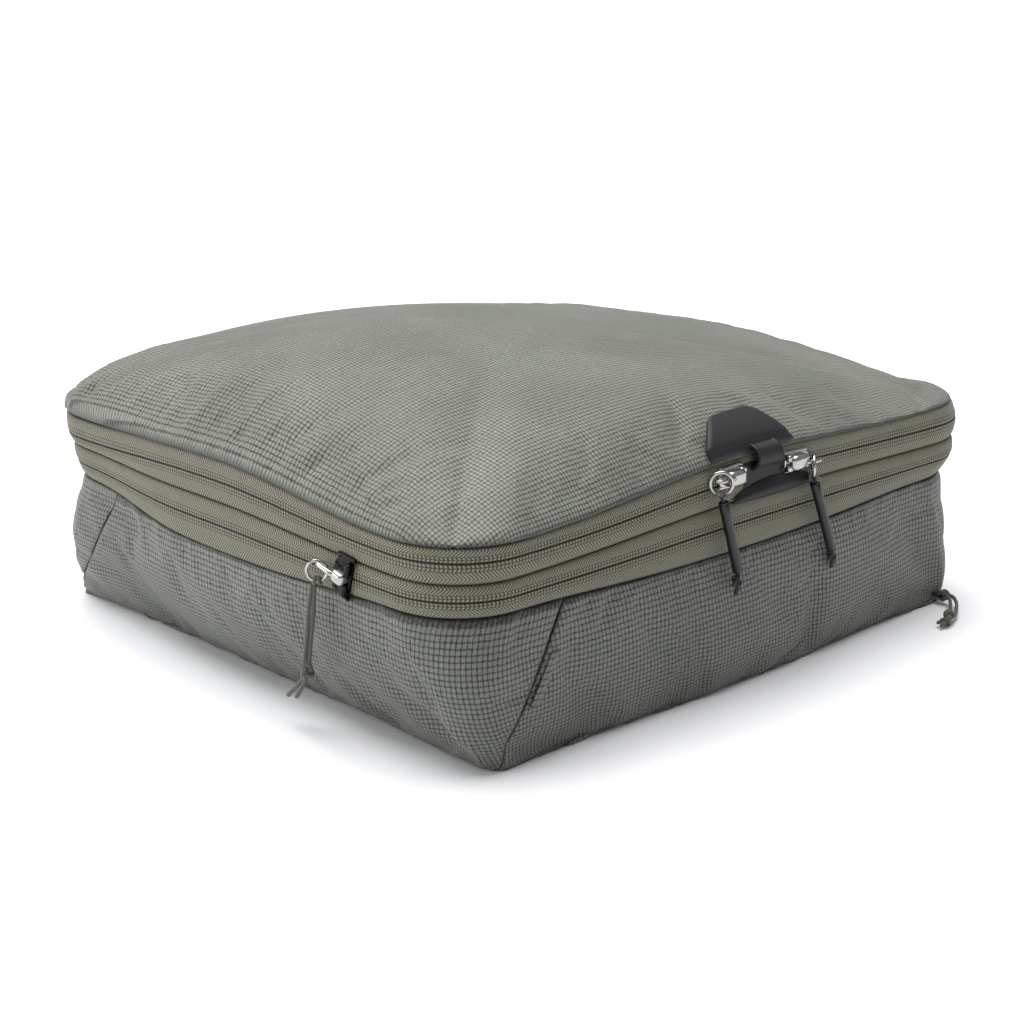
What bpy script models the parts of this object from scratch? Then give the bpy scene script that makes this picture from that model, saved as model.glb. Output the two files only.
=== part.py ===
"""Compression packing cube: a soft zipped box with a domed lid, two zips round it and cord pulls.

Metres, +Z up. The origin is on the floor under the middle of the cube. The front, where the two
main sliders meet, faces -Y. The lid is sewn on along the back edge, at +Y. The main zip runs
round the other three sides, and the compression zip below it runs all the way round and closes
over a folded gusset.
"""

import math

import bmesh
import bpy
from mathutils import Vector

# Cube, measured at the zip band and at the bottom panel
BAND_WIDTH = 0.345
BAND_DEPTH = 0.301
BAND_RADIUS = 0.034
BASE_WIDTH = 0.298
BASE_DEPTH = 0.297
BASE_RADIUS = 0.008
WALL_SWELL = 0.004
FRONT_SWELL = 0.005

# Seam and zip heights: at the corners, at the middle of a side, and the extra drop of the
# front left corner. The back edge stays at the corner height, because the lid hinges there.
LID_SEAM = (0.0988, 0.1030, 0.0040)
MAIN_ZIP = (0.0910, 0.0937, 0.0033)
MID_SEAM = (0.0828, 0.0837, 0.0035)
COMPRESSION_ZIP = (0.0738, 0.0738, 0.0020)
LOWER_SEAM = (0.0645, 0.0612, 0.0010)

# Lid dome
DOME_HEIGHT = 0.036
DOME_POWER = 0.58
DOME_LEAN = 0.6
DOME_FLOOR = 0.1000

# Cloth, tape and coil
CLOTH = 0.0012
TAPE = 0.0010
COIL_HEIGHT = 0.0024
COIL_THICKNESS = 0.0016
GUSSET = 0.0008
GUSSET_FOLD = 0.022
GUSSET_EDGE = 0.0012
GAP = 0.0003
HALF_GAP = GAP / 2

# A turn of 1 is one side and the corner after it: front, right, back, left
ARC_SHARE = 0.2
SIDE_SHARE = 1 - ARC_SHARE
SIDE_STEPS = 8
ARC_STEPS = 5
WALL_COLUMNS = 26
SEAM_TURN = 0.075

# Places along the outline, in turns
ZIP_START = -1.2
ZIP_END = 2.0
COMPRESSION_END = 3.706
END_GAP = 0.002

# Gaps between neighbouring wall panels, in turns at the foot of a corner seam
WALL_JOIN = 0.004

# Label on the near corner seam, in turns and levels of the wall
LABEL_TURNS = (4.005, 4.045)
LABEL_LEVELS = (0.40, 0.72)
LABEL_THICKNESS = 0.0007
LABEL_STAND_OFF = 0.0004

# Pieces on the front
PATCH_X = 0.0013
PATCH_HALF_WIDTHS = (0.0268, 0.0148)
PATCH_START = 0.0020
PATCH_REACH = 0.0150
PATCH_LIFT = Vector((0, -0.0014, 0.0020))
TONGUE_X = 0.006
TONGUE_HALF_WIDTH = 0.0075
TONGUE_HEIGHTS = (0.0882, 0.1022)
TONGUE_STAND_OFF = 0.0008
TONGUE_ROLL = 0.0035
GRAB_TAB_X = 0.013
GRAB_TAB_HALF_WIDTH = 0.0250
GRAB_TAB_START = 0.0012
GRAB_TAB_REACH = 0.0045
GRAB_TAB_SLOPE = 0.45
TAB_THICKNESS = 0.0014

# Corner tab and its knotted loop, at the front right bottom corner
CORNER_TAB_PLACE = (0.1405, -0.1492, 0.0030)
CORNER_TAB_SIZE = (0.0050, 0.0045, 0.0012)
LOOP_ROUTE = (
    (0.1430, -0.1562, 0.0042),
    (0.1428, -0.1600, 0.0046),
    (0.1402, -0.1645, 0.0038),
    (0.1351, -0.1685, 0.0028),
    (0.1295, -0.1712, 0.0021),
    (0.1240, -0.1728, 0.0022),
)
LOOP_RADIUS = 0.0016
LOOP_STEPS = 3
LOOP_KNOT_PLACE = Vector((0.1202, -0.1736, 0.0033))
LOOP_KNOT_SIZE = (0.0033, 0.0062)

# Sliders and pulls
SLIDER_PAIR_X = 0.0052
SLIDER_SPREAD = 0.0205
SLIDER_HEIGHT = 0.0946
SLIDER_PLATE = Vector((0.0170, 0.0017, 0.0105))
SLIDER_STAND_OFF = 0.0007
CROWN_SIZE = Vector((0.0110, 0.0062, 0.0056))
CROWN_SINK = 0.0005
CROWN_SHIFT = 0.0012
PLATE_BEVEL = 0.0005
CROWN_BEVEL = 0.0009
HOOK_RADIUS = 0.0008
HOOK_REACH = 0.0125
HOOK_OUT = 0.0042
HOOK_RISE = 0.0018
SWING_AXIS_REACH = 0.0095
RING_HANG = Vector((0.0006, 0.0006, -0.0028))
RING_RADIUS = 0.0048
RING_WIRE = 0.0007
RING_ANGLE = math.radians(43)
TUBE_RADIUS = 0.0023
TUBE_WALL = 0.0010
TUBE_LENGTH = 0.0360
TUBE_START = 0.0018
PULL_DOWN = Vector((0.43, -0.04, -1.0))
PULL_SPREAD = 0.01
CORD_RADIUS = 0.0010
CORD_END_GAP = 0.0001
HITCH_SHIFT = Vector((0.0006, -0.0016, 0))
KNOT_RADIUS = 0.0022
KNOT_HEIGHT = 0.0060
COMPRESSION_SLIDER_Y = -0.0865
COMPRESSION_SLIDER_Z = 0.0736
COMPRESSION_PLATE = Vector((0.0125, 0.0019, 0.0150))
COMPRESSION_CROWN = Vector((0.0075, 0.0062, 0.0060))
COMPRESSION_HOOK_RISE = 0.0020
COMPRESSION_RING_RADIUS = 0.0041
COMPRESSION_RING_HANG = Vector((0.0008, 0.0016, -0.0020))
COMPRESSION_HITCH_SHIFT = Vector((-0.0008, 0.0004, 0))
COMPRESSION_CORD_RADIUS = 0.0014
COMPRESSION_CORD_RUN = Vector((-0.0004, 0.0045, -0.0360))
COMPRESSION_KNOT_RADIUS = 0.0026
COMPRESSION_KNOT_HEIGHT = 0.0068

COLLECTION = "packing_cube"
COLOURS = {
    "ripstop": ((0.22, 0.225, 0.20), 0.75, 0.0),
    "zip_tape": ((0.19, 0.19, 0.155), 0.80, 0.0),
    "coil": ((0.16, 0.16, 0.13), 0.45, 0.0),
    "gusset": ((0.20, 0.205, 0.18), 0.80, 0.0),
    "black_tpu": ((0.035, 0.034, 0.037), 0.55, 0.0),
    "nickel": ((0.72, 0.71, 0.69), 0.22, 1.0),
    "dark_nickel": ((0.16, 0.15, 0.16), 0.30, 1.0),
    "rubber": ((0.02, 0.02, 0.025), 0.35, 0.0),
    "black_cord": ((0.03, 0.03, 0.03), 0.70, 0.0),
    "olive_cord": ((0.18, 0.175, 0.145), 0.75, 0.0),
}


def start_scene():
    """Empty the scene and return the collection that holds the cube."""
    for found in list(bpy.data.objects):
        bpy.data.objects.remove(found, do_unlink=True)
    collection = bpy.data.collections.new(COLLECTION)
    bpy.context.scene.collection.children.link(collection)
    return collection


def make_material(name):
    """A Principled material of its own for one sub-part's colour group."""
    colour, roughness, metallic = COLOURS[name]
    made = bpy.data.materials.new(name)
    made.use_nodes = True
    shader = made.node_tree.nodes["Principled BSDF"]
    shader.inputs["Base Color"].default_value = (*colour, 1.0)
    shader.inputs["Roughness"].default_value = roughness
    shader.inputs["Metallic"].default_value = metallic
    return made


def outline(turn, width, depth, radius, inset=0.0):
    """A point on a rectangle with round corners, anticlockwise from the front's left end."""
    half_x = width / 2 - inset
    half_y = depth / 2 - inset
    radius = radius - inset
    straight = (half_x - radius, half_y - radius)
    quadrant = math.floor(turn) % 4
    part = turn - math.floor(turn)
    long_half = straight[quadrant % 2]
    out_half = (half_y, half_x)[quadrant % 2]
    if part <= SIDE_SHARE:
        along = long_half * (2 * part / SIDE_SHARE - 1)
        out = -out_half
    else:
        angle = math.pi / 2 * (part - SIDE_SHARE) / ARC_SHARE
        along = long_half + radius * math.sin(angle)
        out = -(out_half - radius) - radius * math.cos(angle)
    rotations = ((along, out), (-out, along), (-along, -out), (out, -along))
    return rotations[quadrant]


def side_part(turn):
    """How far along its side a turn is, from 0 to 1, held at 1 round the corner after it."""
    return min((turn - math.floor(turn)) / SIDE_SHARE, 1.0)


def rise(turn):
    """1 at the middle of the front, left and right sides, 0 at the corners and along the back."""
    if math.floor(turn) % 4 == 2:
        return 0.0
    return math.sin(math.pi * side_part(turn)) ** 2


def near_left_corner(turn):
    """1 at the front left corner, falling to 0 at the middle of the front and left sides."""
    quadrant = math.floor(turn) % 4
    part = side_part(turn)
    if quadrant == 0 and part < 0.5 or quadrant == 3 and part > 0.5:
        return math.cos(math.pi * part) ** 2
    return 0.0


def seam_height(seam, turn):
    """Height of one seam line above the floor at this turn."""
    corner, middle, drop = seam
    return corner + (middle - corner) * rise(turn) - drop * near_left_corner(turn)


def band_point(turn, height, inset=0.0):
    """A point on the upright zip band, moved inwards by inset."""
    x, y = outline(turn, BAND_WIDTH, BAND_DEPTH, BAND_RADIUS, inset)
    return Vector((x, y, height))


def base_point(turn, inset=0.0):
    """A point on the bottom edge, whose front and back swell out a little."""
    x, y = outline(turn, BASE_WIDTH, BASE_DEPTH, BASE_RADIUS, inset)
    if math.floor(turn) % 2 == 0:
        y += math.copysign(FRONT_SWELL, y) * math.sin(math.pi * side_part(turn)) ** 2
    return Vector((x, y, 0.0))


def wall_point(turn, level, out=0.0):
    """A point on the walls: level 0 on the bottom panel, 1 at the lower seam, swollen between."""
    spread = 1 - (1 - level) ** 1.6
    swell = WALL_SWELL * 4 * level * (1 - level)
    width = BASE_WIDTH + (BAND_WIDTH - BASE_WIDTH) * spread + 2 * swell
    depth = BASE_DEPTH + (BAND_DEPTH - BASE_DEPTH) * spread + 2 * swell
    radius = BASE_RADIUS + (BAND_RADIUS - BASE_RADIUS) * level
    x, y = outline(turn, width, depth, radius, -out)
    base_swell = base_point(turn).y - outline(turn, BASE_WIDTH, BASE_DEPTH, BASE_RADIUS)[1]
    floor = CLOTH + GAP
    height = floor + (seam_height(LOWER_SEAM, turn) - HALF_GAP - floor) * level
    return Vector((x, y + base_swell * (1 - level), height))


def turn_stations(start, end):
    """Turns from start to end, with every step of the sides and corners between them."""
    steps = [SIDE_SHARE * i / SIDE_STEPS for i in range(SIDE_STEPS)]
    steps += [SIDE_SHARE + ARC_SHARE * i / ARC_STEPS for i in range(ARC_STEPS)]
    inner = [q + s for q in range(math.floor(start), math.ceil(end)) for s in steps]
    return [start] + [t for t in inner if start + 0.005 < t < end - 0.005] + [end]


def even(count):
    """Evenly spaced numbers from 0 to 1."""
    return [i / count for i in range(count + 1)]


def add_object(name, data, material, parent=None):
    """Link a new object that holds this mesh or curve, with its material and parent."""
    made = bpy.data.objects.new(name, data)
    data.materials.append(MATERIALS[material])
    PARTS.objects.link(made)
    made.parent = parent
    return made


def add_empty(name, place, parent=None):
    """An empty on a joint's axis, which carries the pieces that move with it."""
    made = bpy.data.objects.new(name, None)
    PARTS.objects.link(made)
    made.parent = parent
    made.location = place - (parent.matrix_world.translation if parent else Vector())
    bpy.context.view_layer.update()
    return made


def thicken(made, thickness, offset=-1.0):
    """Give an open surface its thickness, inwards by default."""
    solid = made.modifiers.new("Thickness", "SOLIDIFY")
    solid.thickness = thickness
    solid.offset = offset
    solid.use_even_offset = True


def sheet(name, columns, rows, place, thickness, material, offset=-1.0, parent=None, ring=False):
    """Cloth: a grid whose vertices go where place(column, row) says, then thickened."""
    mesh = bpy.data.meshes.new(name)
    grid = bmesh.new()
    bmesh.ops.create_grid(grid, x_segments=len(columns) - 1, y_segments=len(rows) - 1, size=0.5)
    origin = parent.matrix_world.translation if parent else Vector()
    for vertex in grid.verts:
        column = round((vertex.co.x + 0.5) * (len(columns) - 1))
        row = round((vertex.co.y + 0.5) * (len(rows) - 1))
        vertex.co = place(columns[column], rows[row]) - origin
    if ring:
        bmesh.ops.remove_doubles(grid, verts=grid.verts, dist=0.00005)
    grid.to_mesh(mesh)
    grid.free()
    mesh.shade_smooth()
    made = add_object(name, mesh, material, parent)
    thicken(made, thickness, offset)
    return made


def band_strip(name, start, end, low, high, material, parent=None, inset=0.0, thickness=TAPE):
    """A strip of tape round the band, between two heights given as functions of the turn."""
    return sheet(
        name,
        turn_stations(start, end),
        [0.0, 1.0],
        lambda turn, row: band_point(turn, (low, high)[round(row)](turn), inset),
        thickness,
        material,
        parent=parent,
    )


def zip_half(prefix, start, end, seam, line, above, parent):
    """One half of a zip: its tape from the seam to the zip line, and its coil behind the edge."""
    side = 1 if above else -1

    def edge(turn):
        return seam_height(line, turn) + side * HALF_GAP

    def sewn(turn):
        return seam_height(seam, turn) - side * HALF_GAP

    def coil_edge(turn):
        return edge(turn) + side * COIL_HEIGHT

    low, high = (edge, sewn) if above else (sewn, edge)
    coil_low, coil_high = (edge, coil_edge) if above else (coil_edge, edge)
    band_strip(prefix + "_tape", start, end, low, high, "zip_tape", parent)
    inset = TAPE + GAP
    band_strip(prefix + "_coil", start, end, coil_low, coil_high, "coil", parent, inset, COIL_THICKNESS)


def ring_and_turn(across, along):
    """The square ring a grid point is on, and the turn at which it meets the outline."""
    ring = max(abs(across), abs(along))
    if ring < 1e-6:
        return ring, 0.0
    if abs(along) >= abs(across):
        return ring, 0.4 + across / ring / 2 if along < 0 else 2.4 - across / ring / 2
    return ring, 1.4 + along / ring / 2 if across > 0 else 3.4 - along / ring / 2


def lid_point(across, along):
    """A point on the inside of the lid: across and along run from -1 to 1 over the whole lid.

    Each square ring of the grid becomes a smaller copy of the lid's outline. The height is the
    seam's, levelled towards the middle, plus a dome that falls to nothing at every edge.
    """
    ring, turn = ring_and_turn(across, along)
    x, y = outline(turn, BAND_WIDTH, BAND_DEPTH, BAND_RADIUS)
    x *= ring
    y *= ring
    lean = 1 - DOME_LEAN * x / (BAND_WIDTH / 2)
    shape = max((1 - across**2) * (1 - along**2), 0.0) ** DOME_POWER
    seam = seam_height(LID_SEAM, turn) + HALF_GAP
    return Vector((x, y, seam * ring**2 + DOME_FLOOR * (1 - ring**2) + DOME_HEIGHT * shape * lean))


def front_lid_point(x, back):
    """The lid's inside at this x, at a distance back from the front edge."""
    ring = 1 - back / (BAND_DEPTH / 2)
    straight = BAND_WIDTH / 2 - BAND_RADIUS
    return lid_point(x / straight * SIDE_SHARE, -ring)


def spread_to_edges(value):
    """Grid lines from 0 to 1 as -1 to 1, closer together towards both edges."""
    return math.sin(math.pi / 2 * (2 * value - 1))


def wall_panel(name, bottom_turns, top_turns, count):
    """One wall between its two corner seams, whose turns differ at the bottom and at the top."""

    def place(column, level):
        low = bottom_turns[0] + (bottom_turns[1] - bottom_turns[0]) * column
        high = top_turns[0] + (top_turns[1] - top_turns[0]) * column
        return wall_point(low + (high - low) * level, level)

    return sheet(name, even(count), even(6), place, CLOTH, "ripstop")


def tub():
    """The lower box: bottom panel, four walls, the lower half of the compression zip, its tabs."""
    sheet("bottom_panel", even(14), even(14), bottom_point, CLOTH, "ripstop", offset=1.0)
    names = ("front_wall", "right_wall", "back_wall", "left_wall")
    corner = ARC_SHARE / 2
    for quadrant, name in enumerate(names):
        bottom_turns = (quadrant - corner + WALL_JOIN, quadrant + 1 - corner - WALL_JOIN)
        top_start = quadrant + SEAM_TURN
        top_turns = (top_start + WALL_JOIN / 2, top_start + 1 - WALL_JOIN / 2)
        wall_panel(name, bottom_turns, top_turns, WALL_COLUMNS)
    start = COMPRESSION_END - 4 + END_GAP
    end = COMPRESSION_END - END_GAP
    zip_half("compression_lower", start, end, LOWER_SEAM, COMPRESSION_ZIP, False, None)
    sheet("seam_label", even(3), even(4), label_point, LABEL_THICKNESS, "ripstop", offset=1.0)


def label_point(across, up):
    """A point on the inner side of the label, just off the left wall by its corner seam."""
    turn = LABEL_TURNS[0] + (LABEL_TURNS[1] - LABEL_TURNS[0]) * across
    level = LABEL_LEVELS[0] + (LABEL_LEVELS[1] - LABEL_LEVELS[0]) * up
    return wall_point(turn, level, LABEL_STAND_OFF)


def bottom_point(column, row):
    """A point on the underside of the bottom panel, made of rings like the lid."""
    across, along = 2 * column - 1, 2 * row - 1
    ring, turn = ring_and_turn(across, along)
    return base_point(turn) * ring


def upper_ring(parent):
    """What rises when the compression zip opens: two half zips, the gusset and the hinge strip."""
    start = COMPRESSION_END - 4 + END_GAP
    end = COMPRESSION_END - END_GAP
    zip_half("compression_upper", start, end, MID_SEAM, COMPRESSION_ZIP, True, parent)
    zip_half("main_lower", ZIP_START, ZIP_END, MID_SEAM, MAIN_ZIP, False, parent)

    def hinge_low(turn):
        return seam_height(MID_SEAM, turn) + HALF_GAP

    def hinge_high(turn):
        return seam_height(LID_SEAM, turn) - HALF_GAP

    band_strip(
        "hinge_strip",
        ZIP_END + END_GAP,
        4 + ZIP_START - END_GAP,
        hinge_low,
        hinge_high,
        "ripstop",
        parent,
    )

    def fold(turn, row):
        low = seam_height(LOWER_SEAM, turn) + GUSSET_EDGE
        high = seam_height(MID_SEAM, turn) - GUSSET_EDGE
        depth = TAPE + GUSSET_EDGE + GUSSET_FOLD * (1 - abs(2 * row - 1))
        return band_point(turn, low + (high - low) * row, depth)

    sheet("expansion_gusset", turn_stations(0, 4), [0, 0.5, 1], fold, GUSSET, "gusset", -1.0, parent, True)

    def grab(column, row):
        side = 2 * column - 1
        reach = GRAB_TAB_START + GRAB_TAB_REACH * row * math.sqrt(max(1 - side**2, 0.0))
        turn = SIDE_SHARE * (0.5 + GRAB_TAB_X / (BAND_WIDTH - 2 * BAND_RADIUS))
        height = seam_height(MID_SEAM, turn) + GRAB_TAB_START - GRAB_TAB_SLOPE * reach
        return Vector((GRAB_TAB_X + GRAB_TAB_HALF_WIDTH * side, -BAND_DEPTH / 2 - reach, height))

    sheet("grab_tab", even(12), even(2), grab, TAB_THICKNESS, "black_tpu", 1.0, parent)


def lid(parent):
    """The lid panel, the upper half of the main zip, the patch and the strap tongue below it."""
    sheet(
        "lid_panel",
        even(18),
        even(18),
        lambda u, v: lid_point(spread_to_edges(u), spread_to_edges(v)),
        CLOTH,
        "ripstop",
        1.0,
        parent,
    )
    zip_half("main_upper", ZIP_START, ZIP_END, LID_SEAM, MAIN_ZIP, True, parent)

    def patch_place(column, row):
        half = PATCH_HALF_WIDTHS[0] + (PATCH_HALF_WIDTHS[1] - PATCH_HALF_WIDTHS[0]) * row
        place = front_lid_point(PATCH_X + half * (2 * column - 1), PATCH_START + PATCH_REACH * row)
        return place + PATCH_LIFT

    sheet("front_patch", even(8), even(5), patch_place, CLOTH, "black_tpu", 1.0, parent)

    def tongue_place(column, row):
        height = TONGUE_HEIGHTS[0] + (TONGUE_HEIGHTS[1] - TONGUE_HEIGHTS[0]) * row
        out = TONGUE_STAND_OFF + TONGUE_ROLL * math.sin(math.pi * min(row + 0.15, 1.0))
        return Vector((TONGUE_X + TONGUE_HALF_WIDTH * (2 * column - 1), -BAND_DEPTH / 2 - out, height))

    sheet("strap_tongue", even(4), even(6), tongue_place, TAB_THICKNESS, "black_tpu", 1.0, parent)


def bevelled_box(name, size, place, bevel):
    """A mesh object for a box with rounded edges, to be joined to another."""
    mesh = bpy.data.meshes.new(name)
    box = bmesh.new()
    bmesh.ops.create_cube(box, size=1.0)
    bmesh.ops.scale(box, vec=size, verts=box.verts)
    bmesh.ops.bevel(box, geom=box.edges[:], offset=bevel, segments=2, affect="EDGES", profile=0.5)
    box.to_mesh(mesh)
    box.free()
    made = bpy.data.objects.new(name, mesh)
    made.location = place
    return made


def rod(name, start, end, radius, material, parent=None):
    """A round bar or straight cord: a curve with a bevel and closed ends, its origin at start."""
    curve = bpy.data.curves.new(name, "CURVE")
    curve.dimensions = "3D"
    curve.bevel_depth = radius
    curve.bevel_resolution = 2
    curve.use_fill_caps = True
    spline = curve.splines.new("POLY")
    spline.points.add(1)
    spline.points[0].co = (0, 0, 0, 1)
    spline.points[1].co = (*(end - start), 1)
    made = add_object(name, curve, material, parent)
    made.location = start - (parent.matrix_world.translation if parent else Vector())
    return made


def join_to(target, other):
    """Union another mesh into the target, which keeps its own name."""
    CUTTERS.objects.link(other)
    other.hide_render = True
    other.display_type = "WIRE"
    union = target.modifiers.new("Join " + other.name, "BOOLEAN")
    union.operation = "UNION"
    union.object = other


def slider_body(name, size, crown, side, rise, material, empty):
    """A slider's outer plate with a crown on it and a hook that reaches out to hold the ring.

    The body is modelled facing -Y with its length along X, then turned by its empty. The hook
    stands rise above the plate's middle.
    """
    plate = bevelled_box(name, size, Vector(), PLATE_BEVEL)
    PARTS.objects.link(plate)
    plate.data.materials.append(MATERIALS[material])
    plate.parent = empty
    crown_box = bevelled_box(name + "_crown", crown, Vector(), CROWN_BEVEL)
    crown_box.parent = empty
    crown_out = -size.y / 2 - crown.y / 2 + CROWN_SINK
    crown_box.location = Vector((-side * CROWN_SHIFT, crown_out, 0))
    join_to(plate, crown_box)
    hook = bpy.data.meshes.new(name + "_hook")
    bar = bmesh.new()
    bmesh.ops.create_cone(
        bar, cap_ends=True, segments=12, radius1=HOOK_RADIUS, radius2=HOOK_RADIUS, depth=HOOK_REACH
    )
    bar.to_mesh(hook)
    bar.free()
    hook_object = bpy.data.objects.new(name + "_hook", hook)
    hook_object.parent = empty
    hook_object.rotation_euler = (0, math.pi / 2, 0)
    hook_object.location = Vector((side * HOOK_REACH / 2, hook_out(size), rise))
    join_to(plate, hook_object)


def hook_out(size):
    """How far the hook's centreline stands in front of the plate's centre."""
    return -size.y / 2 - HOOK_OUT


def pull_ring(name, centre, turned, radius, material, empty):
    """A round wire ring that faces along its turned angle."""
    bpy.ops.mesh.primitive_torus_add(
        major_radius=radius, minor_radius=RING_WIRE, major_segments=28, minor_segments=8
    )
    made = bpy.context.active_object
    made.name = name
    made.data.name = name
    made.data.shade_smooth()
    made.data.materials.append(MATERIALS[material])
    for owner in list(made.users_collection):
        owner.objects.unlink(made)
    PARTS.objects.link(made)
    made.parent = empty
    made.location = centre - empty.matrix_world.translation
    made.rotation_euler = (math.pi / 2, 0, turned)
    return made


def pull_tube(name, start, end, empty):
    """The rubber sleeve on a pull cord: an open cylinder with a wall."""
    mesh = bpy.data.meshes.new(name)
    sleeve = bmesh.new()
    length = (end - start).length
    bmesh.ops.create_cone(
        sleeve, cap_ends=False, segments=16, radius1=TUBE_RADIUS, radius2=TUBE_RADIUS, depth=length
    )
    sleeve.to_mesh(mesh)
    sleeve.free()
    mesh.shade_smooth()
    made = add_object(name, mesh, "rubber", empty)
    made.location = (start + end) / 2 - empty.matrix_world.translation
    made.rotation_mode = "QUATERNION"
    made.rotation_quaternion = (end - start).to_track_quat("Z", "Y")
    thicken(made, TUBE_WALL)
    return made


def knot(name, centre, radius, height, material, parent=None):
    """The solid shape of an overhand knot."""
    mesh = bpy.data.meshes.new(name)
    ball = bmesh.new()
    bmesh.ops.create_uvsphere(ball, u_segments=12, v_segments=8, radius=radius)
    bmesh.ops.scale(ball, vec=(1, 1, height / (2 * radius)), verts=ball.verts)
    ball.to_mesh(mesh)
    ball.free()
    mesh.shade_smooth()
    made = add_object(name, mesh, material, parent)
    made.location = centre - (parent.matrix_world.translation if parent else Vector())
    return made


def main_pull(word, side, ring_parent):
    """A main slider and its pull: ring, cord through a rubber sleeve, and knot.

    The two sliders are the same part, one turned half round, so their hooks stand on
    opposite sides of their middles.
    """
    centre = Vector((SLIDER_PAIR_X + side * SLIDER_SPREAD, 0, SLIDER_HEIGHT))
    centre.y = -BAND_DEPTH / 2 - SLIDER_STAND_OFF - SLIDER_PLATE.y / 2
    prefix = "main_slider_" + word
    slide = add_empty(prefix + "_travel", centre, ring_parent)
    rise = -side * HOOK_RISE
    slider_body(prefix, SLIDER_PLATE, CROWN_SIZE, side, rise, "nickel", slide)
    axis = centre + Vector((side * SWING_AXIS_REACH, hook_out(SLIDER_PLATE), rise))
    prefix = "main_pull_" + word
    swing = add_empty(prefix + "_swing", axis, slide)
    ring_centre = axis + Vector((side * RING_HANG.x, RING_HANG.y, RING_HANG.z))
    pull_ring(prefix + "_ring", ring_centre, side * RING_ANGLE, RING_RADIUS, "nickel", swing)
    ring_foot = Vector((0, 0, -RING_RADIUS - RING_WIRE - GAP - CORD_RADIUS * 0.3))
    top = ring_centre + HITCH_SHIFT + ring_foot
    down = (PULL_DOWN + Vector((side * PULL_SPREAD, 0, 0))).normalized()
    sleeve_top = top + down * TUBE_START
    sleeve_end = sleeve_top + down * TUBE_LENGTH
    knot_centre = sleeve_end + down * (GAP * 2 + KNOT_HEIGHT / 2)
    pull_tube(prefix + "_sleeve", sleeve_top, sleeve_end, swing)
    rod(prefix + "_cord", top, sleeve_end + down * CORD_END_GAP, CORD_RADIUS, "black_cord", swing)
    knot(prefix + "_knot", knot_centre, KNOT_RADIUS, KNOT_HEIGHT, "black_cord", swing)


def compression_pull():
    """The slider on the left side and its pull: ring, doubled cord and knot."""
    centre = Vector((0, COMPRESSION_SLIDER_Y, COMPRESSION_SLIDER_Z))
    centre.x = -BAND_WIDTH / 2 - SLIDER_STAND_OFF - COMPRESSION_PLATE.y / 2
    slide = add_empty("compression_slider_travel", centre)
    slide.rotation_euler = (0, 0, -math.pi / 2)
    bpy.context.view_layer.update()
    rise = COMPRESSION_HOOK_RISE
    slider_body(
        "compression_slider", COMPRESSION_PLATE, COMPRESSION_CROWN, -1, rise, "dark_nickel", slide
    )
    axis = centre + Vector((hook_out(COMPRESSION_PLATE), SWING_AXIS_REACH, rise))
    swing = add_empty("compression_pull_swing", axis)
    ring_centre = axis + COMPRESSION_RING_HANG
    turned = -math.pi / 2 + RING_ANGLE
    radius = COMPRESSION_RING_RADIUS
    pull_ring("compression_pull_ring", ring_centre, turned, radius, "nickel", swing)
    top = ring_centre + COMPRESSION_HITCH_SHIFT + Vector((0, 0, -radius - RING_WIRE - GAP))
    end = top + COMPRESSION_CORD_RUN
    rod("compression_pull_cord", top, end, COMPRESSION_CORD_RADIUS, "olive_cord", swing)
    height = COMPRESSION_KNOT_HEIGHT
    knot_centre = end + Vector((0, 0, -GAP * 2 - height / 2))
    knot("compression_pull_knot", knot_centre, COMPRESSION_KNOT_RADIUS, height, "olive_cord", swing)


def corner_tab_point(across, out):
    """A point on the underside of the tab at the front right bottom corner."""
    x, y, z = CORNER_TAB_PLACE
    return Vector((x + CORNER_TAB_SIZE[0] * across, y - CORNER_TAB_SIZE[1] * out, z))


def corner_loop():
    """The small tab at the front right bottom corner, with a knotted loop of cord by it."""
    thickness = CORNER_TAB_SIZE[2]
    sheet("corner_tab", even(1), even(1), corner_tab_point, thickness, "black_tpu", 1.0)
    curve = bpy.data.curves.new("corner_loop_cord", "CURVE")
    curve.dimensions = "3D"
    curve.bevel_depth = LOOP_RADIUS
    curve.bevel_resolution = 2
    curve.use_fill_caps = True
    points = smooth_route([Vector(point) for point in LOOP_ROUTE], LOOP_STEPS)
    spline = curve.splines.new("POLY")
    spline.points.add(len(points) - 1)
    for slot, point in zip(spline.points, points):
        slot.co = (*point, 1)
    add_object("corner_loop_cord", curve, "olive_cord")
    radius, height = LOOP_KNOT_SIZE
    knot("corner_loop_knot", LOOP_KNOT_PLACE, radius, height, "olive_cord")


def smooth_route(route, steps):
    """Points on a Catmull-Rom curve through the route's own points."""
    ends = [2 * route[0] - route[1]] + route + [2 * route[-1] - route[-2]]
    points = []
    for before, start, end, after in zip(ends, ends[1:], ends[2:], ends[3:]):
        for i in range(steps):
            t = i / steps
            points.append(
                0.5
                * (
                    2 * start
                    + (end - before) * t
                    + (2 * before - 5 * start + 4 * end - after) * t**2
                    + (3 * start - before - 3 * end + after) * t**3
                )
            )
    return points + [route[-1]]


PARTS = start_scene()
CUTTERS = bpy.data.collections.new("joined_pieces")
bpy.context.scene.collection.children.link(CUTTERS)
MATERIALS = {name: make_material(name) for name in COLOURS}

tub()
RING = add_empty("upper_ring_rise", Vector((0, 0, seam_height(COMPRESSION_ZIP, 0))))
upper_ring(RING)
LID_AXIS = Vector((0, BAND_DEPTH / 2 + CLOTH, LID_SEAM[0]))
LID = add_empty("lid_hinge", LID_AXIS, RING)
lid(LID)
main_pull("left", -1, RING)
main_pull("right", 1, RING)
compression_pull()
corner_loop()
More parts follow.
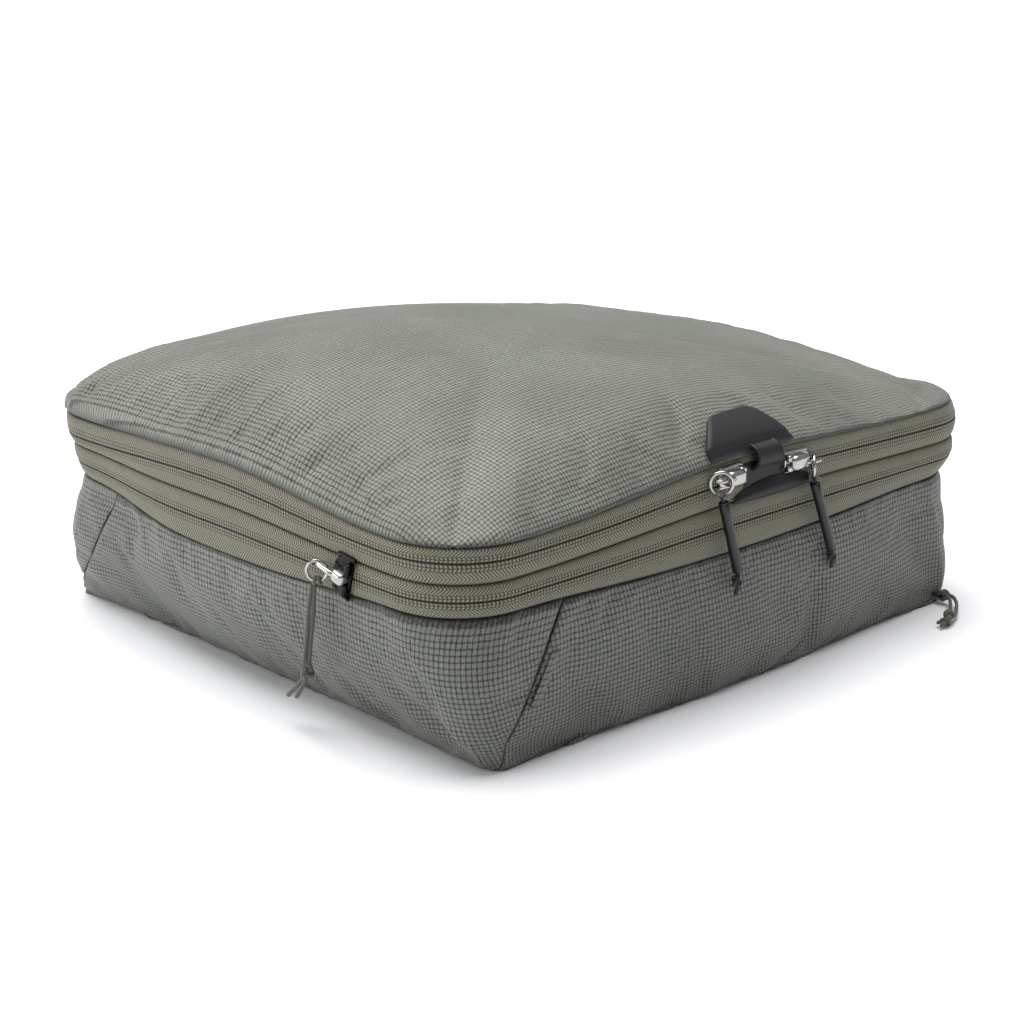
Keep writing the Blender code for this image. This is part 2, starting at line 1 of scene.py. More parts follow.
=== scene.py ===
"""The packing cube's looks: cloth, zips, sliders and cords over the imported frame.

Metres, +Z up, the frame's own axes: the front faces -Y, the lid is sewn on along +Y. Pattern
coordinates on cloth, tape and cord are in millimetres along the piece itself.
"""

import math

import bpy
import numpy as np
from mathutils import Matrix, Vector


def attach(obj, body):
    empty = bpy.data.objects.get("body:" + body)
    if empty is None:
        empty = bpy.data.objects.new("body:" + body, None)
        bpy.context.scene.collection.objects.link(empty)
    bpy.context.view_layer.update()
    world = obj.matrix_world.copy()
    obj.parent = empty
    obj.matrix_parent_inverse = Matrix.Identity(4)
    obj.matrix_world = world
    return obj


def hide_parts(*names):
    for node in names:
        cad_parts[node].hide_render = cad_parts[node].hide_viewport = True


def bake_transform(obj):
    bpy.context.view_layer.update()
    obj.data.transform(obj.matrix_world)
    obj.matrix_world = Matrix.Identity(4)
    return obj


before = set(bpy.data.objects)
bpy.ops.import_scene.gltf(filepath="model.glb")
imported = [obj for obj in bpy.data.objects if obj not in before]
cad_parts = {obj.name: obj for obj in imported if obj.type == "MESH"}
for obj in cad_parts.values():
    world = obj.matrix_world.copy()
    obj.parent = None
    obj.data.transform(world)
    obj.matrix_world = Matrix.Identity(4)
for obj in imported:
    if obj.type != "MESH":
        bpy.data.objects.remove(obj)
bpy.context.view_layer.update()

MM = 0.001

# Cube, the same sizes as the frame's
BAND_SIZE = (0.345, 0.301)
BAND_RADIUS = 0.034
BASE_SIZE = (0.298, 0.297)
BASE_RADIUS = 0.008
WALL_SWELL = 0.004
FRONT_SWELL = 0.005
WALL_FOOT = 0.0006
SPREAD_POWER = 1.6

# Seam and zip heights: at the corners, mid-side, and the drop at the front left corner
LID_SEAM = (0.0988, 0.1030, 0.0040)
MAIN_ZIP = (0.0910, 0.0937, 0.0033)
MID_SEAM = (0.0828, 0.0837, 0.0035)
COMPRESSION_ZIP = (0.0738, 0.0738, 0.0020)
LOWER_SEAM = (0.0645, 0.0612, 0.0010)

# Lid dome
DOME_HEIGHT = 0.036
DOME_POWER = 0.58
DOME_LEAN = 0.6
DOME_FLOOR = 0.1000
CLOTH = 0.0012

# A turn of 1 is one side and the corner after it: front, right, back, left
ARC_SHARE = 0.2
SIDE_SHARE = 0.8
SEAM_TURN = 0.075
ZIP_ENDS = (-1.2, 2.0)
COMPRESSION_ENDS = (-0.292, 3.704)

# Camera and light
CAMERA_PLACE = (-0.6683, -0.7128, 0.3500)
CAMERA_TARGET = (0.0, 0.0, 0.0423)
CAMERA_LENS = 73.8
KEY_FROM = (0.05, 0.25, 0.96)
KEY_ANGLE = math.radians(55)
KEY_STRENGTH = 3.75
FILL_PLACE = (-1.8, 1.2, 0.6)
FILL_POWER = 17.0
WORLD_STRENGTH = 0.34
UP = np.array([0.0, 0.0, 1.0])

# How the stuffed corners stand off the frame's: the way out, then pairs of heights and
# distances out, then pairs of heights and distances up, all in mm
CORNER_SHAPES = (
    (
        (-1, 1),
        (
            (0, 5),
            (11, 0),
            (24, -4.3),
            (41, -8.5),
            (58, -12),
            (64.5, -10.5),
            (74, -8.5),
            (83, -6.5),
            (91, -5),
            (99, -3.7),
            (104, -0.5),
        ),
        ((0, 0), (64.5, 3.5), (74, 1.5), (83, 1), (91, -2), (99, 0), (103, 3.5), (110, 5.5)),
    ),
    (
        (1, -1),
        ((0, 2.5), (15, -2.5), (30, -8), (50, -10), (64.5, -7), (74, -2), (83, -1.5), (91, -1), (99, -3)),
        ((0, 0), (64.5, -1.5), (74, -1), (83, -1.6), (91, -0.5), (99, 0), (103, -2), (110, -4)),
    ),
    (
        (-1, -1),
        ((0, 4), (12, 1.5), (30, 0), (99, 0)),
        ((0, 0), (20, 0), (63.5, 2.4), (71.8, 1.1), (79.3, 0.4), (87.7, 1.2), (94.8, 0)),
    ),
)

# Cloth simulation: how far a vertex may move, and the settings for thin nylon held at its seams
SIMULATED_FRAMES = 20
CLOTH_SHIFT = 0.0025
CLOTH_SETTINGS = {
    "vertex_group_mass": "sewn",
    "quality": 6,
    "mass": 0.08,
    "tension_stiffness": 20,
    "compression_stiffness": 12,
    "shear_stiffness": 6,
    "bending_stiffness": 0.25,
    "use_pressure": True,
}

# Cloth: how a seam draws it in (depth, then width in mm), and folds as start and end in mm on the
# panel, width and height
PANEL_THICKNESS = 0.0008
TUCK_DEPTH = 0.0005
TUCK_WIDTH = 1.2
SEAM_SHADE_WIDTH = 0.45
WALL_JOIN = 0.0006
LABEL_WIDTH = 0.014
LID_FOLDS = (
    ((-160, -30), (-95, 5), 9, 0.8),
    ((-158, 10), (-100, 38), 8, 0.7),
    ((-150, -75), (-100, -38), 8, -0.7),
    ((-120, -120), (-60, -85), 11, 0.6),
    ((20, -110), (90, -70), 14, 0.5),
    ((90, -120), (140, -60), 12, -0.6),
    ((60, 60), (140, 95), 14, 0.6),
)
PLAIN_FOLDS = (
    ((-90, 55), (-60, 12), 7, 0.9),
    ((-20, 58), (10, 12), 7, -0.8),
    ((60, 56), (80, 12), 8, 0.8),
)
WALL_FOLDS = {
    "front_wall": (
        ((-43, 78), (-31, 26), 5, -1.9),
        ((-54, 70), (-46, 25), 5, 1.2),
        ((-100, 55), (-60, 12), 7, 0.7),
        ((15, 58), (40, 12), 8, 0.8),
        ((70, 60), (85, 15), 7, -0.7),
        ((100, 50), (125, 8), 8, 0.8),
        ((-130, 40), (-95, 6), 6, -0.6),
    ),
    "right_wall": PLAIN_FOLDS,
    "back_wall": PLAIN_FOLDS,
    "left_wall": (
        ((68, 62), (92, 22), 5, -2.3),
        ((80, 62), (106, 22), 5, 1.6),
        ((100, 74), (142, 30), 6, -2.6),
        ((114, 74), (152, 32), 5, 1.7),
        ((20, 66), (36, 28), 6, -1.4),
        ((-20, 55), (30, 14), 8, 0.9),
        ((-95, 58), (-60, 12), 7, -0.8),
        ((-130, 60), (-110, 14), 6, 1.0),
        ((20, 60), (55, 30), 6, -0.7),
    ),
}

# Front pieces: the patch's left and right sides, from its foot to its top
PATCH_LEFT = ((0.0, 0.16, 1.0), (-0.0265, -0.0270, -0.0120))
PATCH_RIGHT = ((0.0, 1.0), (0.0265, 0.0175))
TONGUE_X = 0.006
TONGUE_HALF_WIDTH = 0.0080
TONGUE_ROUTE = (
    (-0.1470, 0.1064),
    (-0.1505, 0.1060),
    (-0.1536, 0.1048),
    (-0.1550, 0.1024),
    (-0.1546, 0.1000),
    (-0.1526, 0.0984),
    (-0.1508, 0.0978),
)
TAB_X = 0.0145
TAB_HALF_WIDTH = 0.0275
TAB_RISE = 0.0092
TAB_BULGE = 0.0034

# Rows of stitches: length, gap and radius
STITCH = (0.0019, 0.0006, 0.0002)
TAB_STITCH = (0.0019, 0.0007, 0.0002)

# Pulls as they hang; hook_rise is in mm above the slider's middle
MAIN_PULLS = {
    "left": {
        "slider": (-0.0153, -0.15205, 0.0962),
        "hook_rise": 1.0,
        "ring": (-0.0256, -0.1562, 0.0962),
        "sleeve_top": (-0.0262, -0.1580, 0.0886),
        "sleeve_end": (-0.0154, -0.1582, 0.0550),
        "knot": (-0.0162, -0.1580, 0.0508),
        "tail": (-0.0158, -0.1575, 0.0450),
    },
    "right": {
        "slider": (0.0280, -0.15205, 0.0950),
        "hook_rise": -0.8,
        "ring": (0.0358, -0.1560, 0.0915),
        "sleeve_top": (0.0345, -0.1580, 0.0850),
        "sleeve_end": (0.0482, -0.1582, 0.0512),
        "knot": (0.0485, -0.1580, 0.0476),
        "tail": (0.0494, -0.1575, 0.0420),
    },
}
LOOP_ROUTE = (
    (0.1430, -0.1566, 0.0052),
    (0.1426, -0.1592, 0.0048),
    (0.1392, -0.1630, 0.0040),
    (0.1340, -0.1668, 0.0034),
    (0.1290, -0.1702, 0.0030),
    (0.1240, -0.1727, 0.0032),
)
LOOP_APART = (0.4, 1.0, 1.3, 1.3, 1.1, 0.6)


# ---------------------------------------------------------------- shapes of the cube


def outline(turn, size, radius, out=0.0):
    """Points on a rectangle with round corners, anticlockwise from the front's left end."""
    half = np.broadcast_arrays(turn, size[0] / 2 + out, size[1] / 2 + out, radius + out)
    turn, half_x, half_y, radius = half
    quadrant = np.floor(turn).astype(int) % 4
    part = turn - np.floor(turn)
    sideways = quadrant % 2 == 1
    long_half = np.where(sideways, half_y, half_x) - radius
    out_half = np.where(sideways, half_x, half_y)
    angle = math.pi / 2 * np.clip((part - SIDE_SHARE) / ARC_SHARE, 0, 1)
    share = np.minimum(part / SIDE_SHARE, 1)
    along = long_half * (2 * share - 1) + radius * np.sin(angle)
    away = -(out_half - radius) - radius * np.cos(angle)
    x = np.choose(quadrant, (along, -away, -along, away))
    y = np.choose(quadrant, (away, along, -away, -along))
    return x, y


def seam_height(seam, turn):
    """Height of a seam line: it rises mid-side, is level on the back, drops at the near corner."""
    corner, middle, drop = seam
    quadrant = np.floor(turn).astype(int) % 4
    part = np.minimum((turn - np.floor(turn)) / SIDE_SHARE, 1)
    rise = np.where(quadrant == 2, 0, np.sin(math.pi * part) ** 2)
    near = (quadrant == 0) & (part < 0.5) | (quadrant == 3) & (part > 0.5)
    return corner + (middle - corner) * rise - drop * near * np.cos(math.pi * part) ** 2


def wall_points(turn, level, out=0.0):
    """The walls' outer face: level 0 stands on the floor, level 1 is the lower seam."""
    spread = 1 - (1 - level) ** SPREAD_POWER
    swell = WALL_SWELL * 4 * level * (1 - level)
    size = [a + (b - a) * spread + 2 * swell for a, b in zip(BASE_SIZE, BAND_SIZE)]
    radius = BASE_RADIUS + (BAND_RADIUS - BASE_RADIUS) * level
    x, y = outline(turn, size, radius, out)
    y = y + base_swell(turn) * (1 - level)
    z = WALL_FOOT + (seam_height(LOWER_SEAM, turn) - WALL_FOOT) * level
    return np.stack([x, y, z], -1)


def settle(points):
    """The points after the stuffed corners have leaned and sagged from the frame's upright ones."""
    settled = np.array(points)
    x, y, height = points[..., 0], points[..., 1], points[..., 2] / MM
    for (toward_x, toward_y), lean, lift in CORNER_SHAPES:
        share = smooth_step(toward_x * x + toward_y * y, 0.200, 0.298) * MM
        out = share * np.interp(height, *np.transpose(lean)) / math.sqrt(2)
        settled[..., 0] += toward_x * out
        settled[..., 1] += toward_y * out
        settled[..., 2] += share * np.interp(height, *np.transpose(lift))
    return settled


def base_swell(turn):
    """How far the bottom edge swells towards -Y on the front and +Y on the back."""
    quadrant = np.floor(turn).astype(int) % 4
    part = np.minimum((turn - np.floor(turn)) / SIDE_SHARE, 1)
    direction = np.choose(quadrant, (-1, 0, 1, 0))
    return direction * FRONT_SWELL * np.sin(math.pi * part) ** 2


def ring_turn(across, along):
    """The square ring each grid point is on, and the turn at which it meets the outline."""
    ring = np.maximum(np.maximum(abs(across), abs(along)), 1e-6)
    lengthways = abs(along) >= abs(across)
    front_back = np.where(along < 0, 0.4 + across / ring / 2, 2.4 - across / ring / 2)
    right_left = np.where(across > 0, 1.4 + along / ring / 2, 3.4 - along / ring / 2)
    return ring, np.where(lengthways, front_back, right_left)


def lid_points(across, along):
    """The lid's inner face: rings of the outline, domed, fuller towards the left."""
    ring, turn = ring_turn(across, along)
    x, y = outline(turn, BAND_SIZE, BAND_RADIUS)
    x, y = x * ring, y * ring
    lean = 1 - DOME_LEAN * x / (BAND_SIZE[0] / 2)
    shape = np.maximum((1 - across**2) * (1 - along**2), 0) ** DOME_POWER
    level = seam_height(LID_SEAM, turn) * ring**2 + DOME_FLOOR * (1 - ring**2)
    return np.stack([x, y, level + DOME_HEIGHT * shape * lean], -1)


# ---------------------------------------------------------------- grids and meshes


def grid_normals(points):
    """Unit normals of a grid of points, rows by columns, along column step times row step."""
    normals = np.cross(np.gradient(points, axis=1), np.gradient(points, axis=0))
    return normals / np.maximum(np.linalg.norm(normals, axis=-1, keepdims=True), 1e-12)


def smooth_step(value, start, end):
    """0 before start, 1 after end and a smooth S between them."""
    share = np.clip((value - start) / (end - start), 0, 1)
    return share * share * (3 - 2 * share)


def ripple(along, longest, seed):
    """An irregular wave along a seam, about -1 to 1: four sines whose lengths don't match."""
    shares = (1.0, 0.63, 0.41, 0.27)
    heights = (0.5, 0.35, 0.3, 0.2)
    waves = [
        height * np.sin(2 * math.pi * along / (longest * share) + seed * (1.7 + i))
        for i, (share, height) in enumerate(zip(shares, heights))
    ]
    return sum(waves)


def unit(vectors):
    """The vectors at length 1."""
    vectors = np.asarray(vectors, float)
    return vectors / np.linalg.norm(vectors, axis=-1, keepdims=True)


def lengths_along(path):
    """How far along a path each of its points lies; on a grid, how far down its column."""
    steps = np.linalg.norm(np.diff(path, axis=0), axis=-1)
    return np.concatenate([0 * steps[:1], np.cumsum(steps, 0)])


def bell(value, width):
    """A bell curve: 1 at nought, and nearly 0 beyond twice the width."""
    return np.exp(-((value / width) ** 2))


def angles_round(count):
    """Angles evenly round a circle."""
    return 2 * math.pi * np.arange(count) / count


def grid_part(points, uv=None, wrap=False):
    """A grid's vertices, quads and pattern coordinates at each quad's corners.

    points is rows by columns. With wrap the last column joins the first, and uv has one more
    column than points, so that the pattern closes too.
    """
    rows, columns = points.shape[:2]
    row, column = np.meshgrid(
        np.arange(rows - 1), np.arange(columns if wrap else columns - 1), indexing="ij"
    )
    corner_row = np.stack([row, row, row + 1, row + 1], -1).reshape(-1, 4)
    corner_column = np.stack([column, column + 1, column + 1, column], -1).reshape(-1, 4)
    faces = corner_row * columns + corner_column % columns
    if uv is None:
        uv = np.zeros((rows, columns + wrap, 2))
    return points.reshape(-1, 3), faces.tolist(), uv[corner_row, corner_column].reshape(-1, 2)


def piece(name, parts, material, dark=None):
    """One object from several parts, each with vertices, faces and pattern coordinates.

    dark is how far painted seam shade darkens each vertex, from 0 to 1.
    """
    vertices, faces, coordinates = [], [], []
    count = 0
    for points, part_faces, uv in parts:
        vertices.append(points)
        faces += [[index + count for index in face] for face in part_faces]
        coordinates.append(uv)
        count += len(points)
    mesh = bpy.data.meshes.new(name)
    mesh.from_pydata(np.concatenate(vertices).tolist(), [], faces)
    layer = mesh.uv_layers.new(name="pattern_mm")
    layer.data.foreach_set("uv", np.concatenate(coordinates).astype(np.float32).ravel())
    if dark is not None:
        # The seam attribute holds the painted seam shade.
        seam_shade_layer = mesh.attributes.new("seam", "FLOAT", "POINT")
        seam_shade_layer.data.foreach_set("value", np.asarray(dark, np.float32).ravel())
    mesh.polygons.foreach_set("use_smooth", [True] * len(mesh.polygons))
    mesh.materials.append(material)
    mesh.update()
    made = bpy.data.objects.new(name, mesh)
    bpy.context.scene.collection.objects.link(made)
    return made


def thicken(made, thickness):
    """Give an open cloth surface its thickness, towards the inside."""
    solid = made.modifiers.new("Thickness", "SOLIDIFY")
    solid.thickness = thickness
    solid.offset = -1.0
    return made


def put(name, parts, material, body, *nodes, thickness=0.0, dark=None):
    """A finished piece on its body, in its material's slot, that stands for these CAD nodes.

    An open cloth surface gets its thickness towards the inside, and dark is its painted seam shade.
    """
    made = piece(name, parts, material, dark)
    if thickness:
        thicken(made, thickness)
    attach(made, body)
    if nodes:
        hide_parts(*nodes)
    return made


def close_ends(part, around):
    """A wrapped grid with its first and last rows closed by flat faces."""
    points, faces, coordinates = part
    end = len(points) - around
    faces += [list(range(around))[::-1], list(range(end, end + around))]
    return points, faces, np.concatenate([coordinates, np.zeros((2 * around, 2))])


def ring_part(points, uv=None):
    """A wrapped grid whose last row joins its first too."""
    count = points.shape[0] * points.shape[1]
    flat_points, faces, coordinates = grid_part(np.concatenate([points, points[:1]]), uv, wrap=True)
    return flat_points[:count], [[index % count for index in face] for face in faces], coordinates


def solid_part(points, axes):
    """A closed solid from its rings of points, the right way out for these axes."""
    if np.linalg.det(axes) < 0:
        points = points[::-1]
    return close_ends(grid_part(points, wrap=True), points.shape[1])


def circles(side, other, angle):
    """Unit circles across a path, between its two cross directions, at these angles."""
    return side[:, None] * np.cos(angle)[..., None] + other[:, None] * np.sin(angle)[..., None]


def frames_along(path):
    """Two unit directions across a path at each of its points, carried along without twist."""
    tangent = unit(np.gradient(path, axis=0))
    across = np.cross(tangent[0], np.eye(3)[np.argmin(abs(tangent[0]))])
    sides = []
    for direction in tangent:
        across = unit(across - direction * (across @ direction))
        sides.append(across)
    side = np.array(sides)
    return side, np.cross(tangent, side)


def tube_part(path, radius, around=12):
    """A tube: circles carried along the path, with a rounded cap at each end."""
    path = np.asarray(path, float)
    radius = np.broadcast_to(radius, len(path)).astype(float)
    turn = np.array([0.12, 0.5, 0.87])
    reach = 0.6 * np.sqrt(1 - turn**2)
    first = path[0] - unit(path[1] - path[0]) * (radius[0] * reach)[:, None]
    last = path[-1] + unit(path[-1] - path[-2]) * (radius[-1] * reach[::-1])[:, None]
    side, other = (np.concatenate([[d[0]] * 3, d, [d[-1]] * 3]) for d in frames_along(path))
    path = np.concatenate([first, path, last])
    radius = np.concatenate([radius[0] * turn, radius, radius[-1] * turn[::-1]])
    points = path[:, None] + circles(side, other, angles_round(around)[None]) * radius[:, None, None]
    uv = np.zeros((len(path), around + 1, 2))
    uv[..., 0] = lengths_along(path)[:, None] / MM
    uv[..., 1] = 2 * math.pi * radius.max() / MM * np.arange(around + 1) / around
    return close_ends(grid_part(points, uv, wrap=True), around)


def loop_part(path, radius, around=10):
    """A tube along a path that closes on itself."""
    path = np.asarray(path, float)
    repeated = np.concatenate([path[-3:], path, path[:3]])
    side, other = (direction[3:-3] for direction in frames_along(repeated))
    twist = math.atan2(side[-1] @ other[0], side[-1] @ side[0])
    turned = angles_round(around) + twist * np.arange(len(path))[:, None] / len(path)
    points = (path[:, None] + circles(side, other, turned) * radius).transpose(1, 0, 2)[::-1]
    uv = np.zeros((around + 1, len(path) + 1, 2))
    uv[..., 0] = lengths_along(np.concatenate([path, path[:1]])) / MM
    uv[..., 1] = 2 * math.pi * radius / MM * np.arange(around + 1)[:, None] / around
    return ring_part(points, uv)


def ball_part(centre, radii, axes, power, around=20, rows=12):
    """An ellipsoid with radii along three axes; a power under 1 makes it squarer."""
    latitude = np.linspace(-math.pi / 2, math.pi / 2, rows + 1)[1:-1, None]
    longitude = angles_round(around)
    level = np.cos(latitude)
    shape = (level * np.cos(longitude), level * np.sin(longitude), np.sin(latitude) + 0 * longitude)
    shape = [np.sign(value) * abs(value) ** power * radius for value, radius in zip(shape, radii)]
    points = centre + sum(value[..., None] * axis for value, axis in zip(shape, axes))
    return solid_part(points, axes)


def plate_part(edge, centre, axes, thickness, bevel):
    """A flat plate: its edge is points along the first two axes, its rim is rounded by bevel."""
    outward = unit(edge - edge.mean(axis=0))
    rings = []
    for angle in np.linspace(-math.pi / 2, math.pi / 2, 7):
        ring = edge - outward * bevel * (1 - math.cos(angle))
        rise = math.copysign(thickness / 2 - bevel, angle) + bevel * math.sin(angle) if angle else 0.0
        rings.append(centre + ring @ axes[:2] + rise * axes[2])
    return solid_part(np.array(rings), axes)


def smooth_path(route, steps):
    """A Catmull-Rom curve through the route's points, or through each column of a grid."""
    route = np.asarray(route, float)
    before, after = 2 * route[:1] - route[1:2], 2 * route[-1:] - route[-2:-1]
    a, b, c, d = (np.concatenate([before, route, after])[i : i + len(route) - 1] for i in range(4))
    bend, twist = 2 * a - 5 * b + 4 * c - d, 3 * b - a - 3 * c + d
    shares = np.arange(steps) / steps
    curve = [0.5 * (2 * b + (c - a) * t + bend * t**2 + twist * t**3) for t in shares]
    joined = np.stack(curve, 1).reshape((-1,) + route.shape[1:])
    return np.concatenate([joined, route[-1:]])


# ---------------------------------------------------------------- cloth simulation


def relax(points, grow, pressure):
    """A panel's grid after it is simulated as cloth sewn along its border.

    The cloth is cut a little larger than the frame's face, by grow, and is pushed outwards, so
    it buckles into soft folds. No vertex moves further than CLOTH_SHIFT.
    """
    rows, columns = points.shape[:2]
    made = piece("cloth_trial", [grid_part(points)], RIPSTOP)
    held = made.vertex_groups.new(name="sewn")
    border = np.zeros((rows, columns), bool)
    border[[0, -1]] = True
    border[:, [0, -1]] = True
    held.add(np.flatnonzero(border).tolist(), 1.0, "REPLACE")
    cloth = made.modifiers.new("Cloth", "CLOTH")
    for key, value in CLOTH_SETTINGS.items():
        setattr(cloth.settings, key, value)
    cloth.settings.shrink_min = -grow
    cloth.settings.uniform_pressure_force = pressure
    cloth.settings.effector_weights.gravity = 0
    cloth.point_cache.frame_start = 1
    cloth.point_cache.frame_end = SIMULATED_FRAMES
    for number in range(1, SIMULATED_FRAMES + 1):
        bpy.context.scene.frame_set(number)
    evaluated = made.evaluated_get(bpy.context.evaluated_depsgraph_get())
    moved = np.empty(rows * columns * 3)
    evaluated.data.vertices.foreach_get("co", moved)
    bpy.data.objects.remove(made)
    bpy.context.scene.frame_set(1)
    shift = moved.reshape(points.shape) - points
    length = np.linalg.norm(shift, axis=-1, keepdims=True)
    return points + shift * np.minimum(1, CLOTH_SHIFT / np.maximum(length, 1e-9))


def soften(points, weight, passes):
    """The grid with its heights averaged with their neighbours' again and again, by weight."""
    height = points[..., 2].copy()
    for _ in range(passes):
        around = height[:-2, 1:-1] + height[2:, 1:-1] + height[1:-1, :-2] + height[1:-1, 2:]
        height[1:-1, 1:-1] += weight[1:-1, 1:-1] * (around / 4 - height[1:-1, 1:-1])
    return np.concatenate([points[..., :2], height[..., None]], -1)


def finer(points, times):
    """The grid with this many times more rows and columns, smooth through the old points."""
    return smooth_path(smooth_path(points, times).swapaxes(0, 1), times).swapaxes(0, 1)


# ---------------------------------------------------------------- materials


def linear(colour):
    """An sRGB hex colour as linear RGB with alpha."""
    channels = [int(colour[i : i + 2], 16) / 255 for i in (0, 2, 4)]
    return [c / 12.92 if c <= 0.04045 else ((c + 0.055) / 1.055) ** 2.4 for c in channels] + [1.0]


def add(tree, kind, inputs=(), **settings):
    """Add a shader node with its settings; inputs are by index or name, and nodes are linked."""
    made = tree.nodes.new("ShaderNode" + kind)
    for name, value in settings.items():
        setattr(made, name, value)
    pairs = inputs.items() if isinstance(inputs, dict) else enumerate(inputs)
    for key, value in pairs:
        if isinstance(value, bpy.types.Node):
            value = value.outputs[0]
        if isinstance(value, bpy.types.NodeSocket):
            tree.links.new(value, made.inputs[key])
        else:
            made.inputs[key].default_value = value
    return made


def new_material(name, **constants):
    """A material's node tree and its Principled shader, with constants on the shader."""
    material = bpy.data.materials.new(name)
    material.use_nodes = True
    tree = material.node_tree
    shader = tree.nodes["Principled BSDF"]
    for key, value in constants.items():
        shader.inputs[key.replace("_", " ").title().replace("Ior", "IOR")].default_value = value
    return material, tree, shader


def link_shader(tree, shader, **nodes):
    """Link nodes to the shader's inputs of these names."""
    for key, made in nodes.items():
        tree.links.new(made.outputs[0], shader.inputs[key.replace("_", " ").title()])


def object_noise(tree, scale, detail=2.0):
    """Noise in the piece's own metres, scale cells to the metre."""
    where = add(tree, "TexCoord").outputs["Object"]
    inputs = {"Vector": where, "Scale": scale, "Detail": detail, "Roughness": 0.6}
    return add(tree, "TexNoise", inputs)


def own_pattern(tree):
    """The piece's own pattern coordinates in mm, along it and across it."""
    pattern = add(tree, "SeparateXYZ", [add(tree, "UVMap", uv_map="pattern_mm")])
    return pattern.outputs["X"], pattern.outputs["Y"]


def zigzag(tree, distance, pitch):
    """A zigzag from 0 up to 0.5 and back, once in each pitch."""
    share = add(tree, "Math", [distance, 1 / pitch], operation="MULTIPLY")
    return add(tree, "Math", [share, 0.5], operation="PINGPONG")


def dye(tree, shader, pattern, colours, shade, relief):
    """Colour a cloth between two colours by its pattern, mottle it, and paint shade on its seams.

    colours: no pattern, full pattern, painted seam shade; relief is strength, depth, height.
    """
    plain, full, sewn = (linear(colour) for colour in colours)
    cloth = add(tree, "MixRGB", {"Fac": pattern, "Color1": plain, "Color2": full})
    tinted = add(tree, "VectorMath", {0: cloth, "Scale": shade}, operation="SCALE")
    # Painted shade: the seam attribute mixes the cloth towards the seam colour where a seam's recess lies
    # in shade.
    seam = add(tree, "Attribute", attribute_name="seam").outputs["Fac"]
    colour = add(tree, "MixRGB", {"Fac": seam, "Color1": tinted, "Color2": sewn})
    bump = add(tree, "Bump", dict(zip(("Strength", "Distance", "Height"), relief)))
    link_shader(tree, shader, base_color=colour, normal=bump)


def ripstop_material(name, cell, thread, pitch):
    """Ripstop nylon: pale cells between darker threads, darkest where two threads cross.

    To the eye it is a matt sage cloth with a fine, soft, uneven check that follows every fold.
    """
    material, tree, shader = new_material(name, roughness=0.62, sheen_weight=0.12, sheen_roughness=0.5)
    uneven = object_noise(tree, 520.0, 1.0)
    wander = add(tree, "MapRange", [uneven, 0.3, 0.7, -0.07, 0.07])
    lines, yarns = [], []
    for distance, step in zip(own_pattern(tree), pitch):
        share = add(tree, "Math", [distance, 1 / step, wander], operation="MULTIPLY_ADD")
        away = add(tree, "Math", [share, 0.5], operation="PINGPONG")
        lines.append(add(tree, "MapRange", [away, 0.04, 0.27, 1.0, 0.0], interpolation_type="SMOOTHSTEP"))
        yarns.append(zigzag(tree, distance, 0.42))
    check = add(tree, "Math", lines, operation="MAXIMUM")
    crossing = add(tree, "Math", lines, operation="MULTIPLY")
    patchy = object_noise(tree, 14.0, 3.0)
    flecks = object_noise(tree, 900.0, 2.0)
    strength = add(tree, "MapRange", [flecks, 0.35, 0.65, 0.35, 0.95])
    threads = add(tree, "Math", [check, strength], operation="MULTIPLY")
    darkness = add(tree, "Math", [crossing, 0.55, threads], operation="MULTIPLY_ADD")
    mixed = add(tree, "Math", [patchy, flecks], operation="ADD")
    shade = add(tree, "MapRange", [mixed, 0.6, 1.4, 0.66, 1.34])
    weave_height = add(tree, "Math", yarns, operation="MULTIPLY")
    height = add(tree, "Math", [weave_height, 0.6, check], operation="MULTIPLY_ADD")
    # The third colour, 2b2e28, is the painted seam shade.
    dye(tree, shader, darkness, (cell, thread, "2b2e28"), shade, (0.45, 0.00016, height))
    return material


def tape_material(name, rib, groove):
    """Zip tape of knitted polyester: slanting ribs that meet in chevrons, and stitch rows.

    The pattern's second coordinate is the distance from the zip's centre line. Two rows of
    stitches hold the coil, and the rest is ribs, 1.5 mm apart along the tape.
    """
    material, tree, shader = new_material(name, roughness=0.7, sheen_weight=0.1)
    along, away = own_pattern(tree)
    from_apex = add(tree, "Math", [away, -5.9], operation="ADD")
    slope = add(tree, "Math", [from_apex], operation="ABSOLUTE")
    slanted = add(tree, "Math", [along, slope], operation="ADD")
    wave = zigzag(tree, slanted, 1.5)
    ribs = add(tree, "MapRange", [wave, 0.08, 0.34, 0.0, 1.0], interpolation_type="SMOOTHSTEP")
    from_rows = add(tree, "Math", [away, -1.75], operation="ADD")
    either = add(tree, "Math", [from_rows], operation="ABSOLUTE")
    row_gap = add(tree, "Math", [either, -0.7], operation="ADD")
    row_away = add(tree, "Math", [row_gap], operation="ABSOLUTE")
    row = add(tree, "MapRange", [row_away, 0.30, 0.65, 1.0, 0.0], interpolation_type="SMOOTHSTEP")
    shifted = add(tree, "Math", [row_gap, 0.5, along], operation="MULTIPLY_ADD")
    wave = zigzag(tree, shifted, 1.7)
    stitch = add(tree, "MapRange", [wave, 0.10, 0.32, 0.0, 1.0], interpolation_type="SMOOTHSTEP")
    stitches = add(tree, "Math", [row, stitch], operation="MULTIPLY")
    in_ribs = add(tree, "MapRange", [away, 3.0, 3.5, 0.0, 1.0], interpolation_type="SMOOTHSTEP")
    pattern = add(tree, "MixRGB", {"Fac": in_ribs, "Color1": stitches, "Color2": ribs})
    flecks = object_noise(tree, 1100.0, 1.0)
    shade = add(tree, "MapRange", [flecks, 0.3, 0.7, 0.9, 1.1])
    # The third colour, 23241d, is the painted shade at the seams and along the zip line.
    dye(tree, shader, pattern, (groove, rib, "23241d"), shade, (0.6, 0.00022, pattern))
    return material


